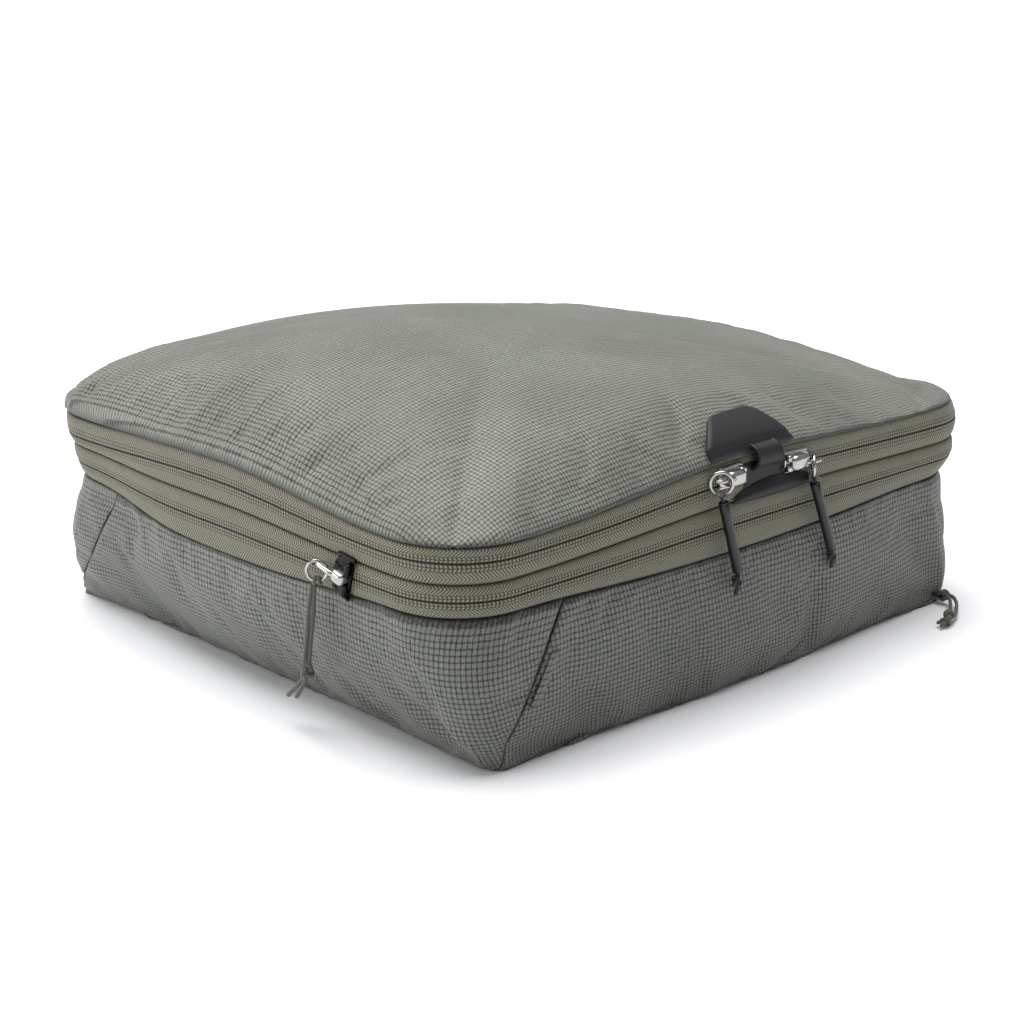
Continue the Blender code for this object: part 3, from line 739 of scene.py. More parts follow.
def cord_material(name, light, dark, roughness):
    """Braided cord: two sets of strands that cross, in small bumps, with darker gaps."""
    material, tree, shader = new_material(name, roughness=roughness, sheen_weight=0.15)
    along, around = own_pattern(tree)
    slants = (add(tree, "Math", [around, s, along], operation="MULTIPLY_ADD") for s in (1, -1))
    waves = [zigzag(tree, slant, 1.1) for slant in slants]
    height = add(tree, "Math", waves, operation="MULTIPLY")
    strand = add(tree, "MapRange", [height, 0.02, 0.14, 0.0, 1.0])
    colour = add(tree, "MixRGB", {"Fac": strand, "Color1": linear(dark), "Color2": linear(light)})
    bump = add(tree, "Bump", {"Strength": 0.7, "Distance": 0.0003, "Height": height})
    link_shader(tree, shader, base_color=colour, normal=bump)
    return material


def smooth_material(name, light, dark, scale, bumpiness, **constants):
    """A smooth moulded, coated or plated finish with fine uneven colour and grain."""
    material, tree, shader = new_material(name, **constants)
    grain = object_noise(tree, scale, 3.0)
    share = add(tree, "MapRange", [grain, 0.3, 0.7, 0.0, 1.0])
    colour = add(tree, "MixRGB", {"Fac": share, "Color1": linear(dark), "Color2": linear(light)})
    bump = add(tree, "Bump", {"Strength": bumpiness, "Distance": 0.0002, "Height": grain})
    link_shader(tree, shader, base_color=colour, normal=bump)
    return material


RIPSTOP = ripstop_material("ripstop nylon, matt", "75786f", "1f211c", (2.15, 2.55))
LID_RIPSTOP = ripstop_material("ripstop nylon, matt, lid", "818479", "1c1e19", (1.75, 2.10))
TAPE = tape_material("zip tape, knitted polyester", "86846f", "33322a")
# Gusset: flat matt nylon with no check; coil: dull olive monofilament with a little shine
GUSSET = smooth_material("gusset cloth, plain nylon", "767a70", "686b62", 900.0, 0.4, roughness=0.8)
COIL = smooth_material("zip coil, nylon", "6c6b60", "5c5b50", 600.0, 0.2, roughness=0.4)
# Coated webbing and moulded TPU: nearly black, satin, with a fine grain that breaks highlights
TPU = smooth_material("coated TPU, satin black", "181619", "121013", 700.0, 0.35, roughness=0.6)
THREAD = smooth_material("sewing thread, black", "2c2b2d", "1c1b1d", 900.0, 0.5, roughness=0.7)
# Polished plating: mirror-like, so it takes its light and dark from the studio
NICKEL = smooth_material(
    "nickel plate, polished", "b8b6b2", "a8a6a2", 300.0, 0.03, metallic=1.0, roughness=0.24
)
DARK_NICKEL = smooth_material(
    "black nickel plate, polished", "2e2c2e", "242224", 300.0, 0.03, metallic=1.0, roughness=0.20
)
# Rubber sleeves: the deepest black, with one soft highlight down their length
RUBBER = smooth_material("rubber sleeve, satin", "0c0c10", "08080b", 500.0, 0.08, roughness=0.34)
# Cords: dull braid whose small bumps catch the light
BLACK_CORD = cord_material("braided cord, black", "2a2a2c", "0c0c0c", 0.65)
OLIVE_CORD = cord_material("braided cord, olive grey", "76746a", "3e3c34", 0.75)
GREY_CORD = cord_material("braided cord, grey", "8c8a86", "4c4a48", 0.7)


# ---------------------------------------------------------------- cloth panels


def edge_distance(points):
    """Distance in mm of every grid point from each of the grid's borders, along the cloth."""
    down, over = lengths_along(points) / MM, lengths_along(points.swapaxes(0, 1)).T / MM
    return [down, down[-1:] - down, over, over[:, -1:] - over]


def pucker(distance, reach, flat, along, longest, seed):
    """Puckers beside a seam, up to about 1: none where flat starts, full where it ends."""
    return np.exp(-distance / reach) * smooth_step(distance, *flat) * ripple(along, longest, seed)


def fold(u, v, start, end, width, height):
    """A soft ridge (or groove, where height is negative) between two places on the cloth, mm."""
    start, end = np.array(start, float), np.array(end, float)
    length = np.linalg.norm(end - start)
    along = (end - start) / length
    share = ((u - start[0]) * along[0] + (v - start[1]) * along[1]) / length
    aside = (u - start[0]) * along[1] - (v - start[1]) * along[0]
    return height * MM * bell(aside, width) * np.sin(math.pi * np.clip(share, 0, 1)) ** 0.8


def sew_panel(name, node, points, pattern, gathers, folds, material, body):
    """Pucker and fold a panel, draw its border into the seam, paint shade there, put it on its body."""
    soft = sum(fold(*pattern, *line) for line in folds)
    points = points + grid_normals(points) * (gathers * MM + soft)[..., None]
    near = np.minimum.reduce(edge_distance(points))
    points = points - grid_normals(points) * (TUCK_DEPTH * bell(near, TUCK_WIDTH))[..., None]
    parts = [grid_part(points, np.stack(pattern, -1))]
    # Painted shade along the border, where the cloth is drawn into its seam.
    dark = 0.8 * bell(near, SEAM_SHADE_WIDTH)
    put(name, parts, material, body, node, thickness=PANEL_THICKNESS, dark=dark)


def edge_lines(count):
    """Grid lines from -1 to 1, closer together towards both ends."""
    even = np.linspace(-1, 1, count)
    return 0.55 * even + 0.45 * np.sin(math.pi / 2 * even)


def build_lid():
    """The lid: simulated, puckered where it is gathered into the seam, most of all at the left."""
    across, along = np.meshgrid(edge_lines(88), edge_lines(78))
    diagonal = 0.8 * bell(abs(across) - abs(along), 0.14)
    diagonal = diagonal * smooth_step(np.maximum(abs(across), abs(along)), 1.0, 0.75)
    base = soften(lid_points(across, along), diagonal, 90)
    base = settle(base + grid_normals(base) * CLOTH)
    points = finer(relax(base, 0.008, 1.5), 2)
    u, v = lid_pattern(finer(base, 2))
    x, y = points[..., 0] / MM, points[..., 1] / MM
    half_width, half_depth = BAND_SIZE[0] / 2 / MM, BAND_SIZE[1] / 2 / MM
    slanted = v + 0.35 * (u + 172)
    gathers = pucker(abs(x + half_width), 34, (1.0, 9.0), slanted, 24, 1.0)
    gathers = 1.35 * gathers * smooth_step(v, -150, -90)
    sides = ((x - half_width, v, 2.0), (y + half_depth, u, 3.0), (y - half_depth, u, 4.0))
    for distance, place_along, seed in sides:
        gathers = gathers + 0.22 * pucker(abs(distance), 10, (0.5, 5.0), place_along, 29, seed)
    sew_panel("lid_cloth", "lid_panel", points, (u, v), gathers, LID_FOLDS, LID_RIPSTOP, "lid")


def lid_pattern(points):
    """The weave's coordinates on the lid in mm: x and y, lengthened where the dome is steep."""
    result = []
    rows, columns = points.shape[:2]
    for axis, line in ((0, points[rows // 2]), (1, points[:, columns // 2])):
        half = line[len(line) // 2 :]
        away = np.interp(np.abs(points[..., axis]), half[:, axis], lengths_along(half))
        result.append(np.sign(points[..., axis]) * away / MM)
    return result


def wall_grid(quadrant, columns, rows):
    """Turns and levels over one wall, which leans on to the next side between its seams."""
    column, level = np.meshgrid(np.linspace(0, 1, columns), np.linspace(0, 1, rows))
    level = level**1.3
    return quadrant + corner_seam(level) + WALL_JOIN + (1 - 2 * WALL_JOIN) * column, level


def corner_seam(level):
    """How far past the corner a wall's seam stands, in turns: it climbs fast, then straight."""
    return -ARC_SHARE / 2 + (SEAM_TURN + ARC_SHARE / 2) * level**0.33


def build_wall(quadrant, node, folds):
    """One wall panel between its corner seams, with folds at places in mm along and up it."""
    columns, rows, times = 92, 22, 3
    base = settle(wall_points(*wall_grid(quadrant, columns, rows)))
    points = finer(relax(base, 0.010, 1.2), times)
    turn = wall_grid(quadrant, (columns - 1) * times + 1, (rows - 1) * times + 1)[0]
    u, v = wall_pattern(finer(base, times), turn, quadrant + SIDE_SHARE / 2)
    below, above, start, end = edge_distance(points)
    seed = quadrant + 1.0
    gathers = 0.40 * pucker(above, 11, (0, 4), u, 23, seed)
    gathers = gathers + 0.25 * pucker(below, 9, (0, 4), u, 27, seed + 1)
    for side in (start, end):
        gathers = gathers + 0.25 * pucker(side, 8, (0, 4), v, 17, seed + 2)
    sew_panel(node + "_cloth", node, points, (u, v), gathers, folds, RIPSTOP, "tub")


def wall_pattern(points, turn, middle):
    """The weave's coordinates on a wall in mm: along it from the middle turn, and up the slope."""
    along = lengths_along(points.swapaxes(0, 1)).T
    zero = [np.interp(middle, turns, lengths) for turns, lengths in zip(turn, along)]
    line = points[:, points.shape[1] // 2]
    up = np.interp(points[..., 2], line[:, 2], lengths_along(line))
    return (along - np.array(zero)[:, None]) / MM, up / MM


def build_walls():
    """The four wall panels, each wrapped round the corner after it."""
    for quadrant, (node, folds) in enumerate(WALL_FOLDS.items()):
        build_wall(quadrant, node, folds)


def build_bottom():
    """The bottom panel, flat on the floor, its border turned up into the seam."""
    across, along = np.meshgrid(np.linspace(-1, 1, 61), np.linspace(-1, 1, 61))
    ring, turn = ring_turn(across, along)
    x, y = outline(turn, BASE_SIZE, BASE_RADIUS, -0.0006)
    y = y + base_swell(turn)
    height = 0.0003 + 0.0006 * smooth_step(ring, 0.985, 1.0)
    points = np.stack([x * ring, y * ring, height], -1)
    parts = [grid_part(settle(points)[::-1], points[::-1, :, :2] / MM)]
    dark = np.zeros(ring.shape)
    put("bottom_cloth", parts, RIPSTOP, "tub", "bottom_panel", thickness=PANEL_THICKNESS, dark=dark)


def build_label():
    """The small blank label folded into the near corner's seam."""
    across, up = np.meshgrid(np.linspace(0, 1, 14), np.linspace(0, 1, 22))
    level = 0.40 + 0.32 * up
    turn = 4 + corner_seam(level) + 0.004 + LABEL_WIDTH * across
    points = wall_points(turn, level, 0.0010)
    bulge = 0.0012 * np.sin(math.pi * across) ** 0.5
    points = points + grid_normals(points) * bulge[..., None]
    # Painted shade along the label's edges, where it meets the seam.
    dark = 0.5 * bell(np.minimum.reduce(edge_distance(points)), 0.5)
    parts = [grid_part(points, np.stack([across * 7, up * 20], -1))]
    put("seam_label_cloth", parts, RIPSTOP, "tub", "seam_label", thickness=0.0009, dark=dark)


# ---------------------------------------------------------------- zips

# A half tape's section: distance from the zip line as a share of its height, and how far it
# stands out in mm. The coil under it lifts it, and both edges are drawn in.
TAPE_SECTION = (
    (0.0, 0.75),
    (0.04, 0.98),
    (0.12, 1.15),
    (0.25, 1.20),
    (0.35, 1.10),
    (0.50, 1.00),
    (0.70, 0.75),
    (0.85, 0.30),
    (0.95, -0.30),
    (1.0, -0.80),
)
ZIP_HALF_GAP = 0.0001


def band_turns(start, end, step):
    """Turns from start to end whose points lie about step apart along the band."""
    fine = np.linspace(start, end, 4000)
    length = lengths_along(np.stack(outline(fine, BAND_SIZE, BAND_RADIUS), -1))
    even = np.linspace(0, length[-1], int(length[-1] / step) + 1)
    return np.interp(even, length, fine), even


def band_points(turn, out, height):
    """Points at these turns round the band, this far out from its face and at these heights."""
    step = 1e-4
    x, y = outline(turn, BAND_SIZE, BAND_RADIUS)
    x0, y0 = outline(turn - step, BAND_SIZE, BAND_RADIUS)
    x1, y1 = outline(turn + step, BAND_SIZE, BAND_RADIUS)
    normal = unit(np.stack([y1 - y0, x0 - x1], -1))
    return np.stack([x + normal[:, 0] * out, y + normal[:, 1] * out, height], -1)


def build_tape(prefix, ends, line, seam, above, body):
    """Half a zip's tape: its section carried round the band from the zip line to the seam."""
    turn, along = band_turns(ends[0], ends[1], 0.0020)
    share = np.linspace(0, 1, 24)[:, None]
    out = np.interp(share, *np.transpose(TAPE_SECTION)) * MM
    start = seam_height(line, turn) + (ZIP_HALF_GAP if above else -ZIP_HALF_GAP)
    end = seam_height(seam, turn)
    wander = 0.00022 * ripple(along / MM, 67, 1.0 if above else 2.0)
    shift = out + wander * np.sin(math.pi * share)
    points = band_points(turn, shift, start + (end - start) * share)
    away = np.abs(points[..., 2] - seam_height(line, turn)) / MM
    uv = np.stack([np.broadcast_to(along / MM, away.shape), away], -1)
    # Painted shade: darker at the seam and along the zip line, in the gap between the two tapes.
    dark = bell(np.abs(end - start) / MM - away, 0.50) + 0.6 * bell(away, 0.22)
    points, dark = settle(points), np.clip(dark, 0, 1) * 0.85
    if not above:
        points, uv, dark = points[::-1], uv[::-1], dark[::-1]
    parts = [grid_part(points, uv)]
    put(prefix + "_zip_tape", parts, TAPE, body, prefix + "_tape", thickness=0.0006, dark=dark)


def build_coil(prefix, ends, line, above, body):
    """Half a zip's coil, sewn to the inside of its tape: a flattened helix of nylon wire."""
    points_per_turn, pitch = 5, 0.0015
    turn, _ = band_turns(ends[0] + 0.004, ends[1] - 0.004, pitch / points_per_turn)
    angle = 2 * math.pi * np.arange(len(turn)) / points_per_turn
    height = seam_height(line, turn) + (0.0014 + 0.0010 * np.cos(angle)) * (1 if above else -1)
    path = band_points(turn, -(0.0019 + 0.0006 * np.sin(angle)), height)
    parts = [tube_part(settle(path), 0.00030, around=4)]
    put(prefix + "_zip_coil", parts, COIL, body, prefix + "_coil")


def build_zips():
    """Both zips: four half tapes and their coils."""
    halves = (
        ("compression_lower", COMPRESSION_ENDS, COMPRESSION_ZIP, LOWER_SEAM, False, "tub"),
        ("compression_upper", COMPRESSION_ENDS, COMPRESSION_ZIP, MID_SEAM, True, "upper_ring"),
        ("main_lower", ZIP_ENDS, MAIN_ZIP, MID_SEAM, False, "upper_ring"),
        ("main_upper", ZIP_ENDS, MAIN_ZIP, LID_SEAM, True, "lid"),
    )
    for prefix, ends, line, seam, above, body in halves:
        build_tape(prefix, ends, line, seam, above, body)
        build_coil(prefix, ends, line, above, body)


def build_hinge():
    """The strip of cloth across the back between the ends of the main zip."""
    turn, along = band_turns(ZIP_ENDS[1] + 0.002, 4 + ZIP_ENDS[0] - 0.002, 0.003)
    share = np.linspace(0, 1, 12)[:, None]
    low, high = seam_height(MID_SEAM, turn), seam_height(LID_SEAM, turn)
    height = low + (high - low) * share
    points = band_points(turn, 0.0008 * np.sin(math.pi * share) ** 0.5 - 0.0006, height)
    uv = np.stack([np.broadcast_to(along / MM, height.shape), height / MM], -1)
    # Painted shade along the strip's seams.
    dark = 0.8 * bell(np.minimum.reduce(edge_distance(points)), SEAM_SHADE_WIDTH)
    parts = [grid_part(settle(points), uv)]
    node = "hinge_strip"
    put("hinge_cloth", parts, RIPSTOP, "upper_ring", node, thickness=PANEL_THICKNESS, dark=dark)


def build_gusset():
    """The expansion gusset: a strip of cloth folded inwards behind the compression zip."""
    turn, along = (values[:-1] for values in band_turns(0.0, 4.0, 0.004))
    share = np.linspace(0, 1, 17)[:, None]
    low = seam_height(LOWER_SEAM, turn) + 0.0012
    high = seam_height(MID_SEAM, turn) - 0.0012
    depth = 0.0034 + 0.021 * (1 - np.abs(2 * share - 1) ** 1.3)
    depth = depth + 0.0008 * np.sin(math.pi * share) * ripple(along / MM, 61, 2.0)
    strip = grid_part(settle(band_points(turn, -depth, low + (high - low) * share)), wrap=True)
    made = thicken(piece("gusset_cloth", [strip], GUSSET), 0.0005)
    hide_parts("expansion_gusset")
    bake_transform(made)


# ---------------------------------------------------------------- black pieces on the front


def stitch_parts(path, normals, length, gap, radius):
    """A row of stitches along a path: short rounded bars lying on the surface."""
    along = lengths_along(path)
    rise = np.array([-0.6, 0.3, 0.6, 0.3, -0.6]) * radius
    parts = []
    for start in np.arange(gap, along[-1] - length, length + gap):
        places = start + length * np.array([0.0, 0.2, 0.5, 0.8, 1.0])
        line, lift = (
            np.stack([np.interp(places, along, column) for column in values.T], -1)
            for values in (path, normals)
        )
        parts.append(tube_part(line + lift * rise[:, None], radius, around=5))
    return parts


def front_lid(x, back):
    """The lid's inner face on the front: at this x and at a distance back from its edge."""
    ring = 1 - back / (BAND_SIZE[1] / 2)
    straight = BAND_SIZE[0] / 2 - BAND_RADIUS
    return lid_points(x / straight * SIDE_SHARE, -ring)


def build_patch():
    """The black patch on the lid's front edge: a slanted trapezoid with round corners."""
    across, up = np.meshgrid(np.linspace(0, 1, 49), np.linspace(0, 1, 33))
    corner = np.clip((np.abs(2 * across - 1) - 0.76) / 0.24, 0, 1)
    rounded = up - 0.14 * corner**2 * smooth_step(up, 0.5, 1.0)
    left, right = np.interp(rounded, *PATCH_LEFT), np.interp(rounded, *PATCH_RIGHT)
    reach = 0.0004 + (0.0156 + 0.0025 * across) * rounded
    base = front_lid(left + (right - left) * across, reach)
    normal = grid_normals(base)
    near = np.minimum(np.minimum(across, 1 - across) * 46, np.minimum(up, 1 - up) * 17)
    pillow = 0.0009 + 0.0007 * (1 - bell(near, 1.3))
    groove = 0.00035 * bell(up - 0.10, 0.03)
    outer = base + normal * (CLOTH + pillow - groove)[..., None]
    rim = base + normal * (CLOTH * 0.6)
    top = np.concatenate([rim[:1], outer, rim[-1:]])
    top = np.concatenate([rim_column(rim, 0), top, rim_column(rim, -1)], axis=1)
    put("front_patch_cover", [grid_part(top)], TPU, "lid", "front_patch")
    for word, row in (("lower", 3), ("upper", -4)):
        parts = stitch_parts(outer[row, 3:-3], normal[row, 3:-3], *STITCH)
        put(f"front_patch_stitches_{word}", parts, THREAD, "lid")


def rim_column(rim, index):
    """The column that closes the patch's side down to the lid."""
    column = rim[:, [index]]
    return np.concatenate([column[:1], column, column[-1:]])


def build_tongue():
    """The strap that rolls out from under the patch and down over the zip."""
    curve = smooth_path([(0, y, z) for y, z in TONGUE_ROUTE], 6)
    across = np.linspace(-1, 1, 21)[None, :, None]
    tangent = np.gradient(curve, axis=0)
    normal = unit(np.stack([0 * tangent[:, 0], tangent[:, 2], -tangent[:, 1]], -1))
    points = curve[:, None] + normal[:, None] * 0.0005 * np.abs(across) ** 6
    points = points + np.array([1.0, 0, 0]) * (TONGUE_X + TONGUE_HALF_WIDTH * across)
    parts = [grid_part(points)]
    put("strap_tongue_roll", parts, TPU, "lid", "strap_tongue", thickness=0.0016)


def build_grab_tab():
    """The crescent tab sewn in above the mid seam, a dark sheet of painted shade above it, its stitches.
    """
    across, up = np.meshgrid(np.linspace(-1, 1, 61), np.linspace(0, 1, 15))
    shape = np.sqrt(np.maximum(1 - across**2, 0)) ** 1.1
    x = TAB_X + TAB_HALF_WIDTH * across
    turn = SIDE_SHARE * (0.5 + x / (BAND_SIZE[0] - 2 * BAND_RADIUS))
    z = seam_height(MID_SEAM, turn) - 0.0014 * shape + TAB_RISE * shape * up
    out = 0.0016 + TAB_BULGE * np.sin(math.pi * up**0.8) * shape
    crescent = np.stack([x, -BAND_SIZE[1] / 2 - out, z], -1)
    put("grab_tab_crescent", [grid_part(crescent)], TPU, "upper_ring", "grab_tab", thickness=0.0012)
    # Painted shade: a dark sheet over the zip, behind the crescent tab and under the tongue, standing for
    # the shade in the recess there.
    side, rise = np.meshgrid(np.linspace(-1, 1, 15), np.linspace(0, 1, 9))
    depth = -BAND_SIZE[1] / 2 - 0.0013 - 0.0003 * np.sin(math.pi * rise)
    recess_shade = np.stack([0.0065 + 0.0125 * side, depth, 0.0850 + 0.0150 * rise], -1)
    put("grab_tab_recess_shade", [grid_part(recess_shade)], TPU, "upper_ring", thickness=0.0006)
    normals = grid_normals(crescent)[8, 6:-6]
    parts = stitch_parts(crescent[8, 6:-6], normals, *TAB_STITCH)
    put("grab_tab_stitches", parts, THREAD, "upper_ring")


# ---------------------------------------------------------------- sliders and pulls


def squarish(value):
    """A sine or cosine pushed towards 1 or -1, which makes a circle nearly a rectangle."""
    return np.sign(value) * abs(value) ** 0.6


def slider_parts(centre, axes, size, crown, rise):
    """A slider: plate, rolled rails and two flanges, then its smooth crown and the ring's hook.

    Sizes are in mm along the zip, out from it and up, and rise is the hook's height above the
    plate's centre. The hook reaches forward along the first axis.
    """
    axes = np.array(axes, float)
    half_long, base, half_high = np.array(size) / 2

    def at(a, up, out):
        return centre + np.array([a, up, out]) @ axes * MM

    angle = angles_round(40)
    edge = np.stack([half_long * squarish(np.cos(angle)), half_high * squarish(np.sin(angle))], -1)
    edge[:, 1:] *= 1 - 0.16 * (edge[:, :1] / half_long + 1) / 2
    parts = [plate_part(edge * MM, centre, axes, size[1] * MM, 0.5 * MM)]
    for sense in (-1, 1):
        rail = [
            at(a, sense * half_high * (1 - 0.08 * (a / half_long + 1)), -0.4)
            for a in np.linspace(-half_long * 0.9, half_long * 0.85, 9)
        ]
        parts.append(tube_part(rail, 0.95 * MM, around=10))
        flange = at(-half_long * 0.72, sense * half_high * 0.50, base + 0.4)
        radii = np.array((half_long * 0.26, half_high * 0.36, 1.9)) * MM
        parts.append(ball_part(flange, radii, axes, 0.6))
    long, high, tall = crown
    radii = np.array((long / 2, high / 2, tall)) * MM
    bright = [ball_part(at(-0.5, 0, base), radii, axes, 0.55, around=36, rows=20)]
    hook = (
        (long * 0.20, rise * 0.5, base + tall * 0.72),
        (long * 0.42, rise * 0.8, base + tall * 0.95),
        (8.4, rise, base + 4.5),
        (11.0, rise, base + 4.0),
        (12.4, rise, base + 2.4),
    )
    wire = smooth_path([at(*place) for place in hook], 5)
    bright.append(tube_part(wire, np.linspace(1.35, 0.75, len(wire)) * MM))
    return parts, bright


def wrap_part(centre, first, second, radius, thickness):
    """One turn of cord round something: a ring in the plane of two directions."""
    t = angles_round(18)[:, None]
    circle = np.cos(t) * np.asarray(first, float) + np.sin(t) * np.asarray(second, float)
    return loop_part(np.asarray(centre) + radius * circle, thickness, around=8)


def ring_path(centre, turned, radius):
    """Points round a ring that stands upright and faces along its turned angle."""
    level = np.array([math.cos(turned), math.sin(turned), 0.0])
    angle = angles_round(48)[:, None]
    return centre + radius * (np.cos(angle) * level + np.sin(angle) * UP)


def knot_path(centre, down, radius):
    """A trefoil: the path of a strand through an overhand knot, stretched along the cord."""
    t = angles_round(60)[:, None]
    a = (np.sin(t) + 2 * np.sin(2 * t)) / 3
    b = (np.cos(t) - 2 * np.cos(2 * t)) / 3
    c = -np.sin(3 * t) * 0.45
    down = unit(down)
    side = unit(np.cross(down, (0.3, 1.0, 0.2)))
    return centre + radius * (a * side + b * down * 1.15 + c * np.cross(down, side))


def sleeve_part(start, end, radius, wall, around=24):
    """A rubber sleeve: outer face, rounded lips and inner face, turned about the cord."""
    length = np.linalg.norm(end - start)
    axis = (end - start) / length
    side = unit(np.cross(axis, (0, 1.0, 0)))
    lip = 0.0004
    profile = [(lip * 2, radius - wall), (lip, radius - wall), (0, radius - lip), (lip, radius)]
    profile += [(s * length, radius * (1 - 0.05 * math.sin(math.pi * s))) for s in (0.2, 0.4, 0.6, 0.8)]
    profile += [(length - lip, radius), (length, radius - lip), (length - lip, radius - wall)]
    profile += [(length - 2 * lip, radius - wall)]
    angle = angles_round(around)[:, None]
    circle = np.cos(angle) * side + np.sin(angle) * np.cross(axis, side)
    return ring_part(np.array([start + axis * s + circle * r for s, r in profile]))


def hitch_parts(ring_centre, turned, radius, angles, thickness):
    """The cord's turns round the foot of its ring, at these angles round the ring."""
    level = np.array([math.cos(turned), math.sin(turned), 0.0])
    parts = []
    for angle in angles:
        outward = math.cos(angle) * level + math.sin(angle) * UP
        wrap = ring_centre + radius * outward
        parts.append(wrap_part(wrap, outward, np.cross(level, UP), 0.0014, thickness))
    return parts


def build_main_pull(word, side):
    """A main slider and its pull: ring, hitch, cord in a rubber sleeve, knot and two tails."""
    places = {key: np.array(value) for key, value in MAIN_PULLS[word].items()}
    body, pull = f"main_slider_{word}", f"main_pull_{word}"
    axes = ((side, 0, 0), UP, (0, -1, 0))
    rise = places["hook_rise"]
    plate, crown = slider_parts(places["slider"], axes, (16.0, 1.7, 9.0), (11.5, 7.2, 4.4), rise)
    put(body + "_body", plate + crown, NICKEL, body, body)
    turned = side * math.radians(43)
    ring_centre, sleeve_top, sleeve_end = places["ring"], places["sleeve_top"], places["sleeve_end"]
    wire = loop_part(ring_path(ring_centre, turned, 0.0048), 0.0008)
    put(pull + "_ring_wire", [wire], NICKEL, pull, pull + "_ring")
    rubber = sleeve_part(sleeve_top, sleeve_end, 0.0023, 0.0010)
    sleeve = put(pull + "_rubber", [rubber], RUBBER, pull, pull + "_sleeve")
    down, knot_centre, tip = unit(sleeve_end - sleeve_top), places["knot"], places["tail"]
    strand = loop_part(knot_path(knot_centre, down, 0.0021), 0.0008)
    knot = put(pull + "_knot_strand", [strand], BLACK_CORD, pull, pull + "_knot")
    top = ring_centre + (0.0004, -0.0016, -0.0056)
    aside = np.cross(down, (0, 1.0, 0))
    hitch = hitch_parts(ring_centre, turned, 0.0048, (-1.95, -1.57, -1.19), 0.0007)
    hitch.append(wrap_part(top, aside, np.cross(down, aside), 0.0013, 0.0008))
    wraps = put(pull + "_hitch", hitch, GREY_CORD, pull)
    route = [top, sleeve_top, (sleeve_top + sleeve_end) / 2, sleeve_end, knot_centre]
    route += [(knot_centre + tip) / 2 + (0.0006, -0.0004, 0), tip]
    path = smooth_path(route, 5)
    strand = tube_part(path, 0.0010, around=10)
    cord = put(pull + "_strand", [strand], BLACK_CORD, pull, pull + "_cord")
    second = smooth_path([knot_centre, knot_centre + down * 0.0028, tip + (0.0030, 0, 0.0012)], 5)
    other = put(pull + "_second_tail", [tube_part(second, 0.0008, around=8)], BLACK_CORD, pull)


def build_compression_pull():
    """The slider on the left side and its pull: ring, a doubled cord and a knot with two tails."""
    centre = np.array([-0.17415, -0.0868, 0.0732])
    lean = math.radians(16)
    axes = ((0, math.cos(lean), math.sin(lean)), (0, -math.sin(lean), math.cos(lean)), (-1, 0, 0))
    plate, crown = slider_parts(centre, axes, (11.0, 1.9, 18.0), (7.5, 5.6, 4.2), 1.0)
    body, pull = "compression_slider", "compression_pull"
    put(body + "_plate", plate, DARK_NICKEL, body, body)
    # Painted highlight: the crown and the ring's hook are bright nickel on a black nickel slider, a
    # lighter copy of its plating where its top catches the light.
    put(body + "_crown", crown, NICKEL, body)
    ring_centre = np.array([-0.1785, -0.0754, 0.0733])
    turned = math.radians(-47)
    wire = loop_part(ring_path(ring_centre, turned, 0.0043), 0.0007)
    put(pull + "_ring_wire", [wire], NICKEL, pull, pull + "_ring")
    top, end = np.array([-0.1797, -0.0741, 0.0672]), np.array([-0.1800, -0.0688, 0.0320])
    knot_centre = np.array([-0.1800, -0.0690, 0.0285])
    strand = loop_part(knot_path(knot_centre, (0, 0.05, -1.0), 0.0025), 0.0010)
    knot = put(pull + "_knot_strand", [strand], OLIVE_CORD, pull, pull + "_knot")
    hitch = hitch_parts(ring_centre, turned, 0.0043, (-1.80, -1.34), 0.0008)
    wraps = put(pull + "_hitch", hitch, OLIVE_CORD, pull)
    tips = {"left": (-0.1806, -0.0619, 0.0151), "right": (-0.1798, -0.0550, 0.0135)}
    for word, tip in tips.items():
        aside = (0.00095 if word == "right" else -0.00095) * np.array([0.72, -0.69, 0])
        route = [top + aside * 0.6, (2 * top + end) / 3 + aside * 1.1, (top + 2 * end) / 3 + aside * 0.9]
        route += [end + aside, knot_centre + aside * 0.6]
        route += [(knot_centre * 0.6 + np.array(tip) * 0.4) + (0, -0.0010, 0.0), tip]
        path = smooth_path(route, 5)
        nodes = [pull + "_cord"] if word == "left" else []
        parts = [tube_part(path, 0.00095, around=10)]
        put(f"{pull}_strand_{word}", parts, OLIVE_CORD, pull, *nodes)


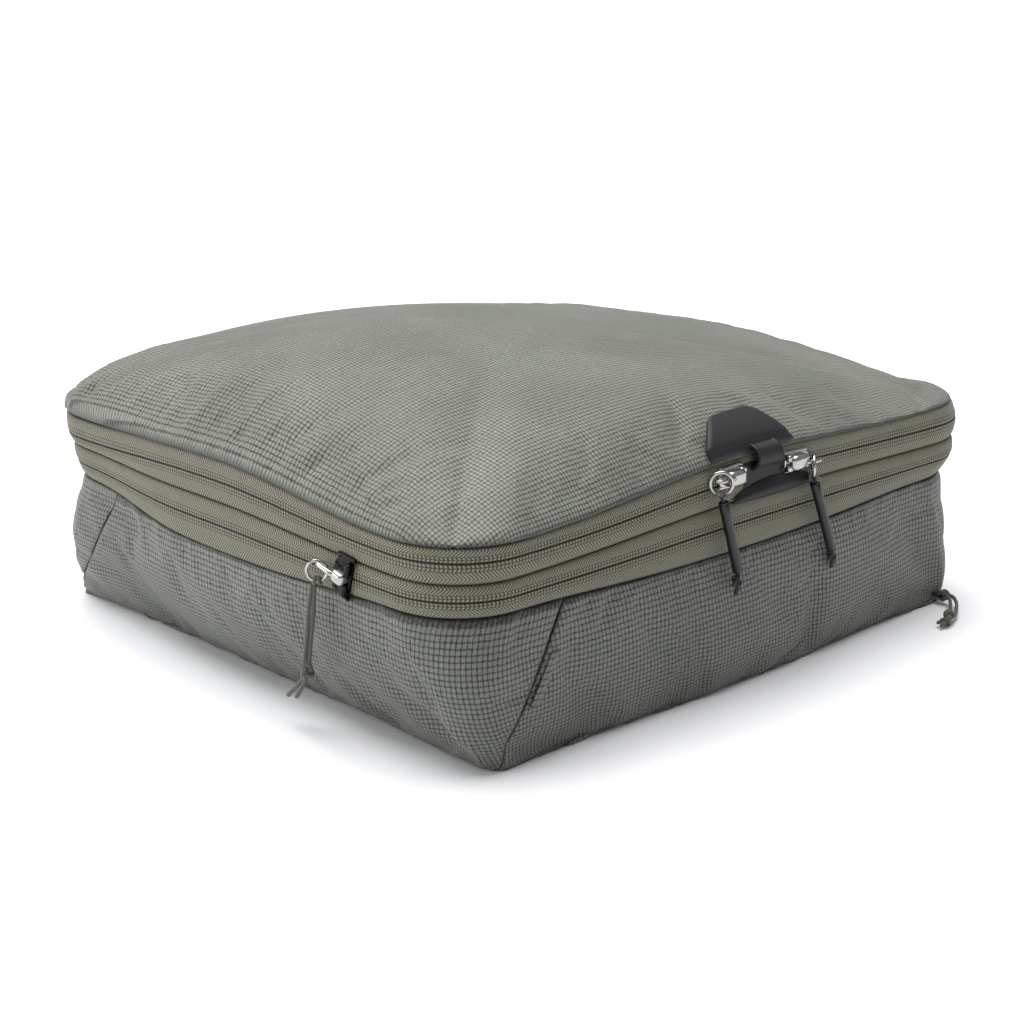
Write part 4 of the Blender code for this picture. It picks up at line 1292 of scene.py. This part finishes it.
def build_corner_loop():
    """The tab at the front right bottom corner, with a doubled cord knotted on the floor."""
    across, out = np.meshgrid(np.linspace(0, 1, 9), np.linspace(0, 1, 9))
    lift = 0.0042 + 0.0010 * np.sin(math.pi * out)
    tab = np.stack([0.1402 + 0.0056 * across, -0.1485 - 0.0055 * out, lift], -1)
    put("corner_tab_loop", [grid_part(tab[::-1])], TPU, "tub", "corner_tab", thickness=0.0010)
    knot_centre = np.array([0.1195, -0.1737, 0.0040])
    strand = loop_part(knot_path(knot_centre, (1.0, 0.2, 0.0), 0.0030), 0.0011)
    knot = put("corner_loop_knot_strand", [strand], OLIVE_CORD, "tub", "corner_loop_knot")
    hitch = [
        wrap_part((0.1430 + shift, -0.1545, 0.0045), (0, 1, 0), UP, 0.0019, 0.0010)
        for shift in (-0.0011, 0.0011)
    ]
    wraps = put("corner_loop_hitch", hitch, OLIVE_CORD, "tub")
    route = np.array(LOOP_ROUTE)
    along = np.gradient(route, axis=0)
    aside = unit(np.stack([-along[:, 1], along[:, 0], 0 * along[:, 0]], -1))
    tips = {"outer": (0.1128, -0.1752, 0.0022), "inner": (0.1140, -0.1722, 0.0024)}
    for word, tip in tips.items():
        apart = 0.0011 if word == "outer" else -0.0011
        points = route + aside * apart * np.array(LOOP_APART)[:, None]
        path = smooth_path(np.concatenate([points, [knot_centre, tip]]), 4)
        nodes = ["corner_loop_cord"] if word == "outer" else []
        parts = [tube_part(path, 0.0009, around=10)]
        put(f"corner_loop_strand_{word}", parts, OLIVE_CORD, "tub", *nodes)


# ---------------------------------------------------------------- studio


def add_light(name, kind, energy, aim_from, **settings):
    """A light that shines from this direction or place towards the cube."""
    light = bpy.data.lights.new(name, kind)
    light.energy = energy
    for key, value in settings.items():
        setattr(light, key, value)
    made = bpy.data.objects.new(name, light)
    made.location = aim_from
    made.rotation_mode = "QUATERNION"
    made.rotation_quaternion = (Vector(aim_from) - Vector(CAMERA_TARGET)).to_track_quat("Z", "Y")
    bpy.context.scene.collection.objects.link(made)


def build_studio():
    """Camera, a wide soft key from overhead, a low fill at the left and a pale floor."""
    scene = bpy.context.scene
    lens = bpy.data.cameras.new("camera")
    lens.lens = CAMERA_LENS
    camera = bpy.data.objects.new("camera", lens)
    scene.collection.objects.link(camera)
    camera.location = CAMERA_PLACE
    aim = Vector(CAMERA_TARGET) - Vector(CAMERA_PLACE)
    camera.rotation_mode = "QUATERNION"
    camera.rotation_quaternion = aim.to_track_quat("-Z", "Y")
    scene.camera = camera
    add_light("key", "SUN", KEY_STRENGTH, KEY_FROM, angle=KEY_ANGLE)
    add_light("fill", "AREA", FILL_POWER, FILL_PLACE, shape="RECTANGLE", size=1.6, size_y=0.9)
    world = bpy.data.worlds.new("studio")
    scene.world = world
    world.use_nodes = True
    background = world.node_tree.nodes["Background"]
    background.inputs["Color"].default_value = linear("f4f6f9")
    background.inputs["Strength"].default_value = WORLD_STRENGTH
    floor_mesh = bpy.data.meshes.new("floor")
    size = 12.0
    corners = [(-size, -size, 0), (size, -size, 0), (size, size, 0), (-size, size, 0)]
    floor_mesh.from_pydata(corners, [], [(0, 1, 2, 3)])
    material, tree, shader = new_material("floor, matt white paper", roughness=0.9)
    grain = object_noise(tree, 30.0)
    share = add(tree, "MapRange", [grain, 0.3, 0.7, 0.0, 1.0])
    colour = add(tree, "MixRGB", {"Fac": share, "Color1": linear("fafafc"), "Color2": linear("fcfcfe")})
    link_shader(tree, shader, base_color=colour)
    floor_mesh.materials.append(material)
    floor = bpy.data.objects.new("floor", floor_mesh)
    scene.collection.objects.link(floor)
    scene.view_settings.view_transform = "Standard"
    scene.view_settings.look = "None"


build_studio()
build_lid()
build_walls()
build_bottom()
build_label()
build_zips()
build_hinge()
build_gusset()
build_patch()
build_tongue()
build_grab_tab()
build_main_pull("left", -1)
build_main_pull("right", 1)
build_compression_pull()
build_corner_loop()
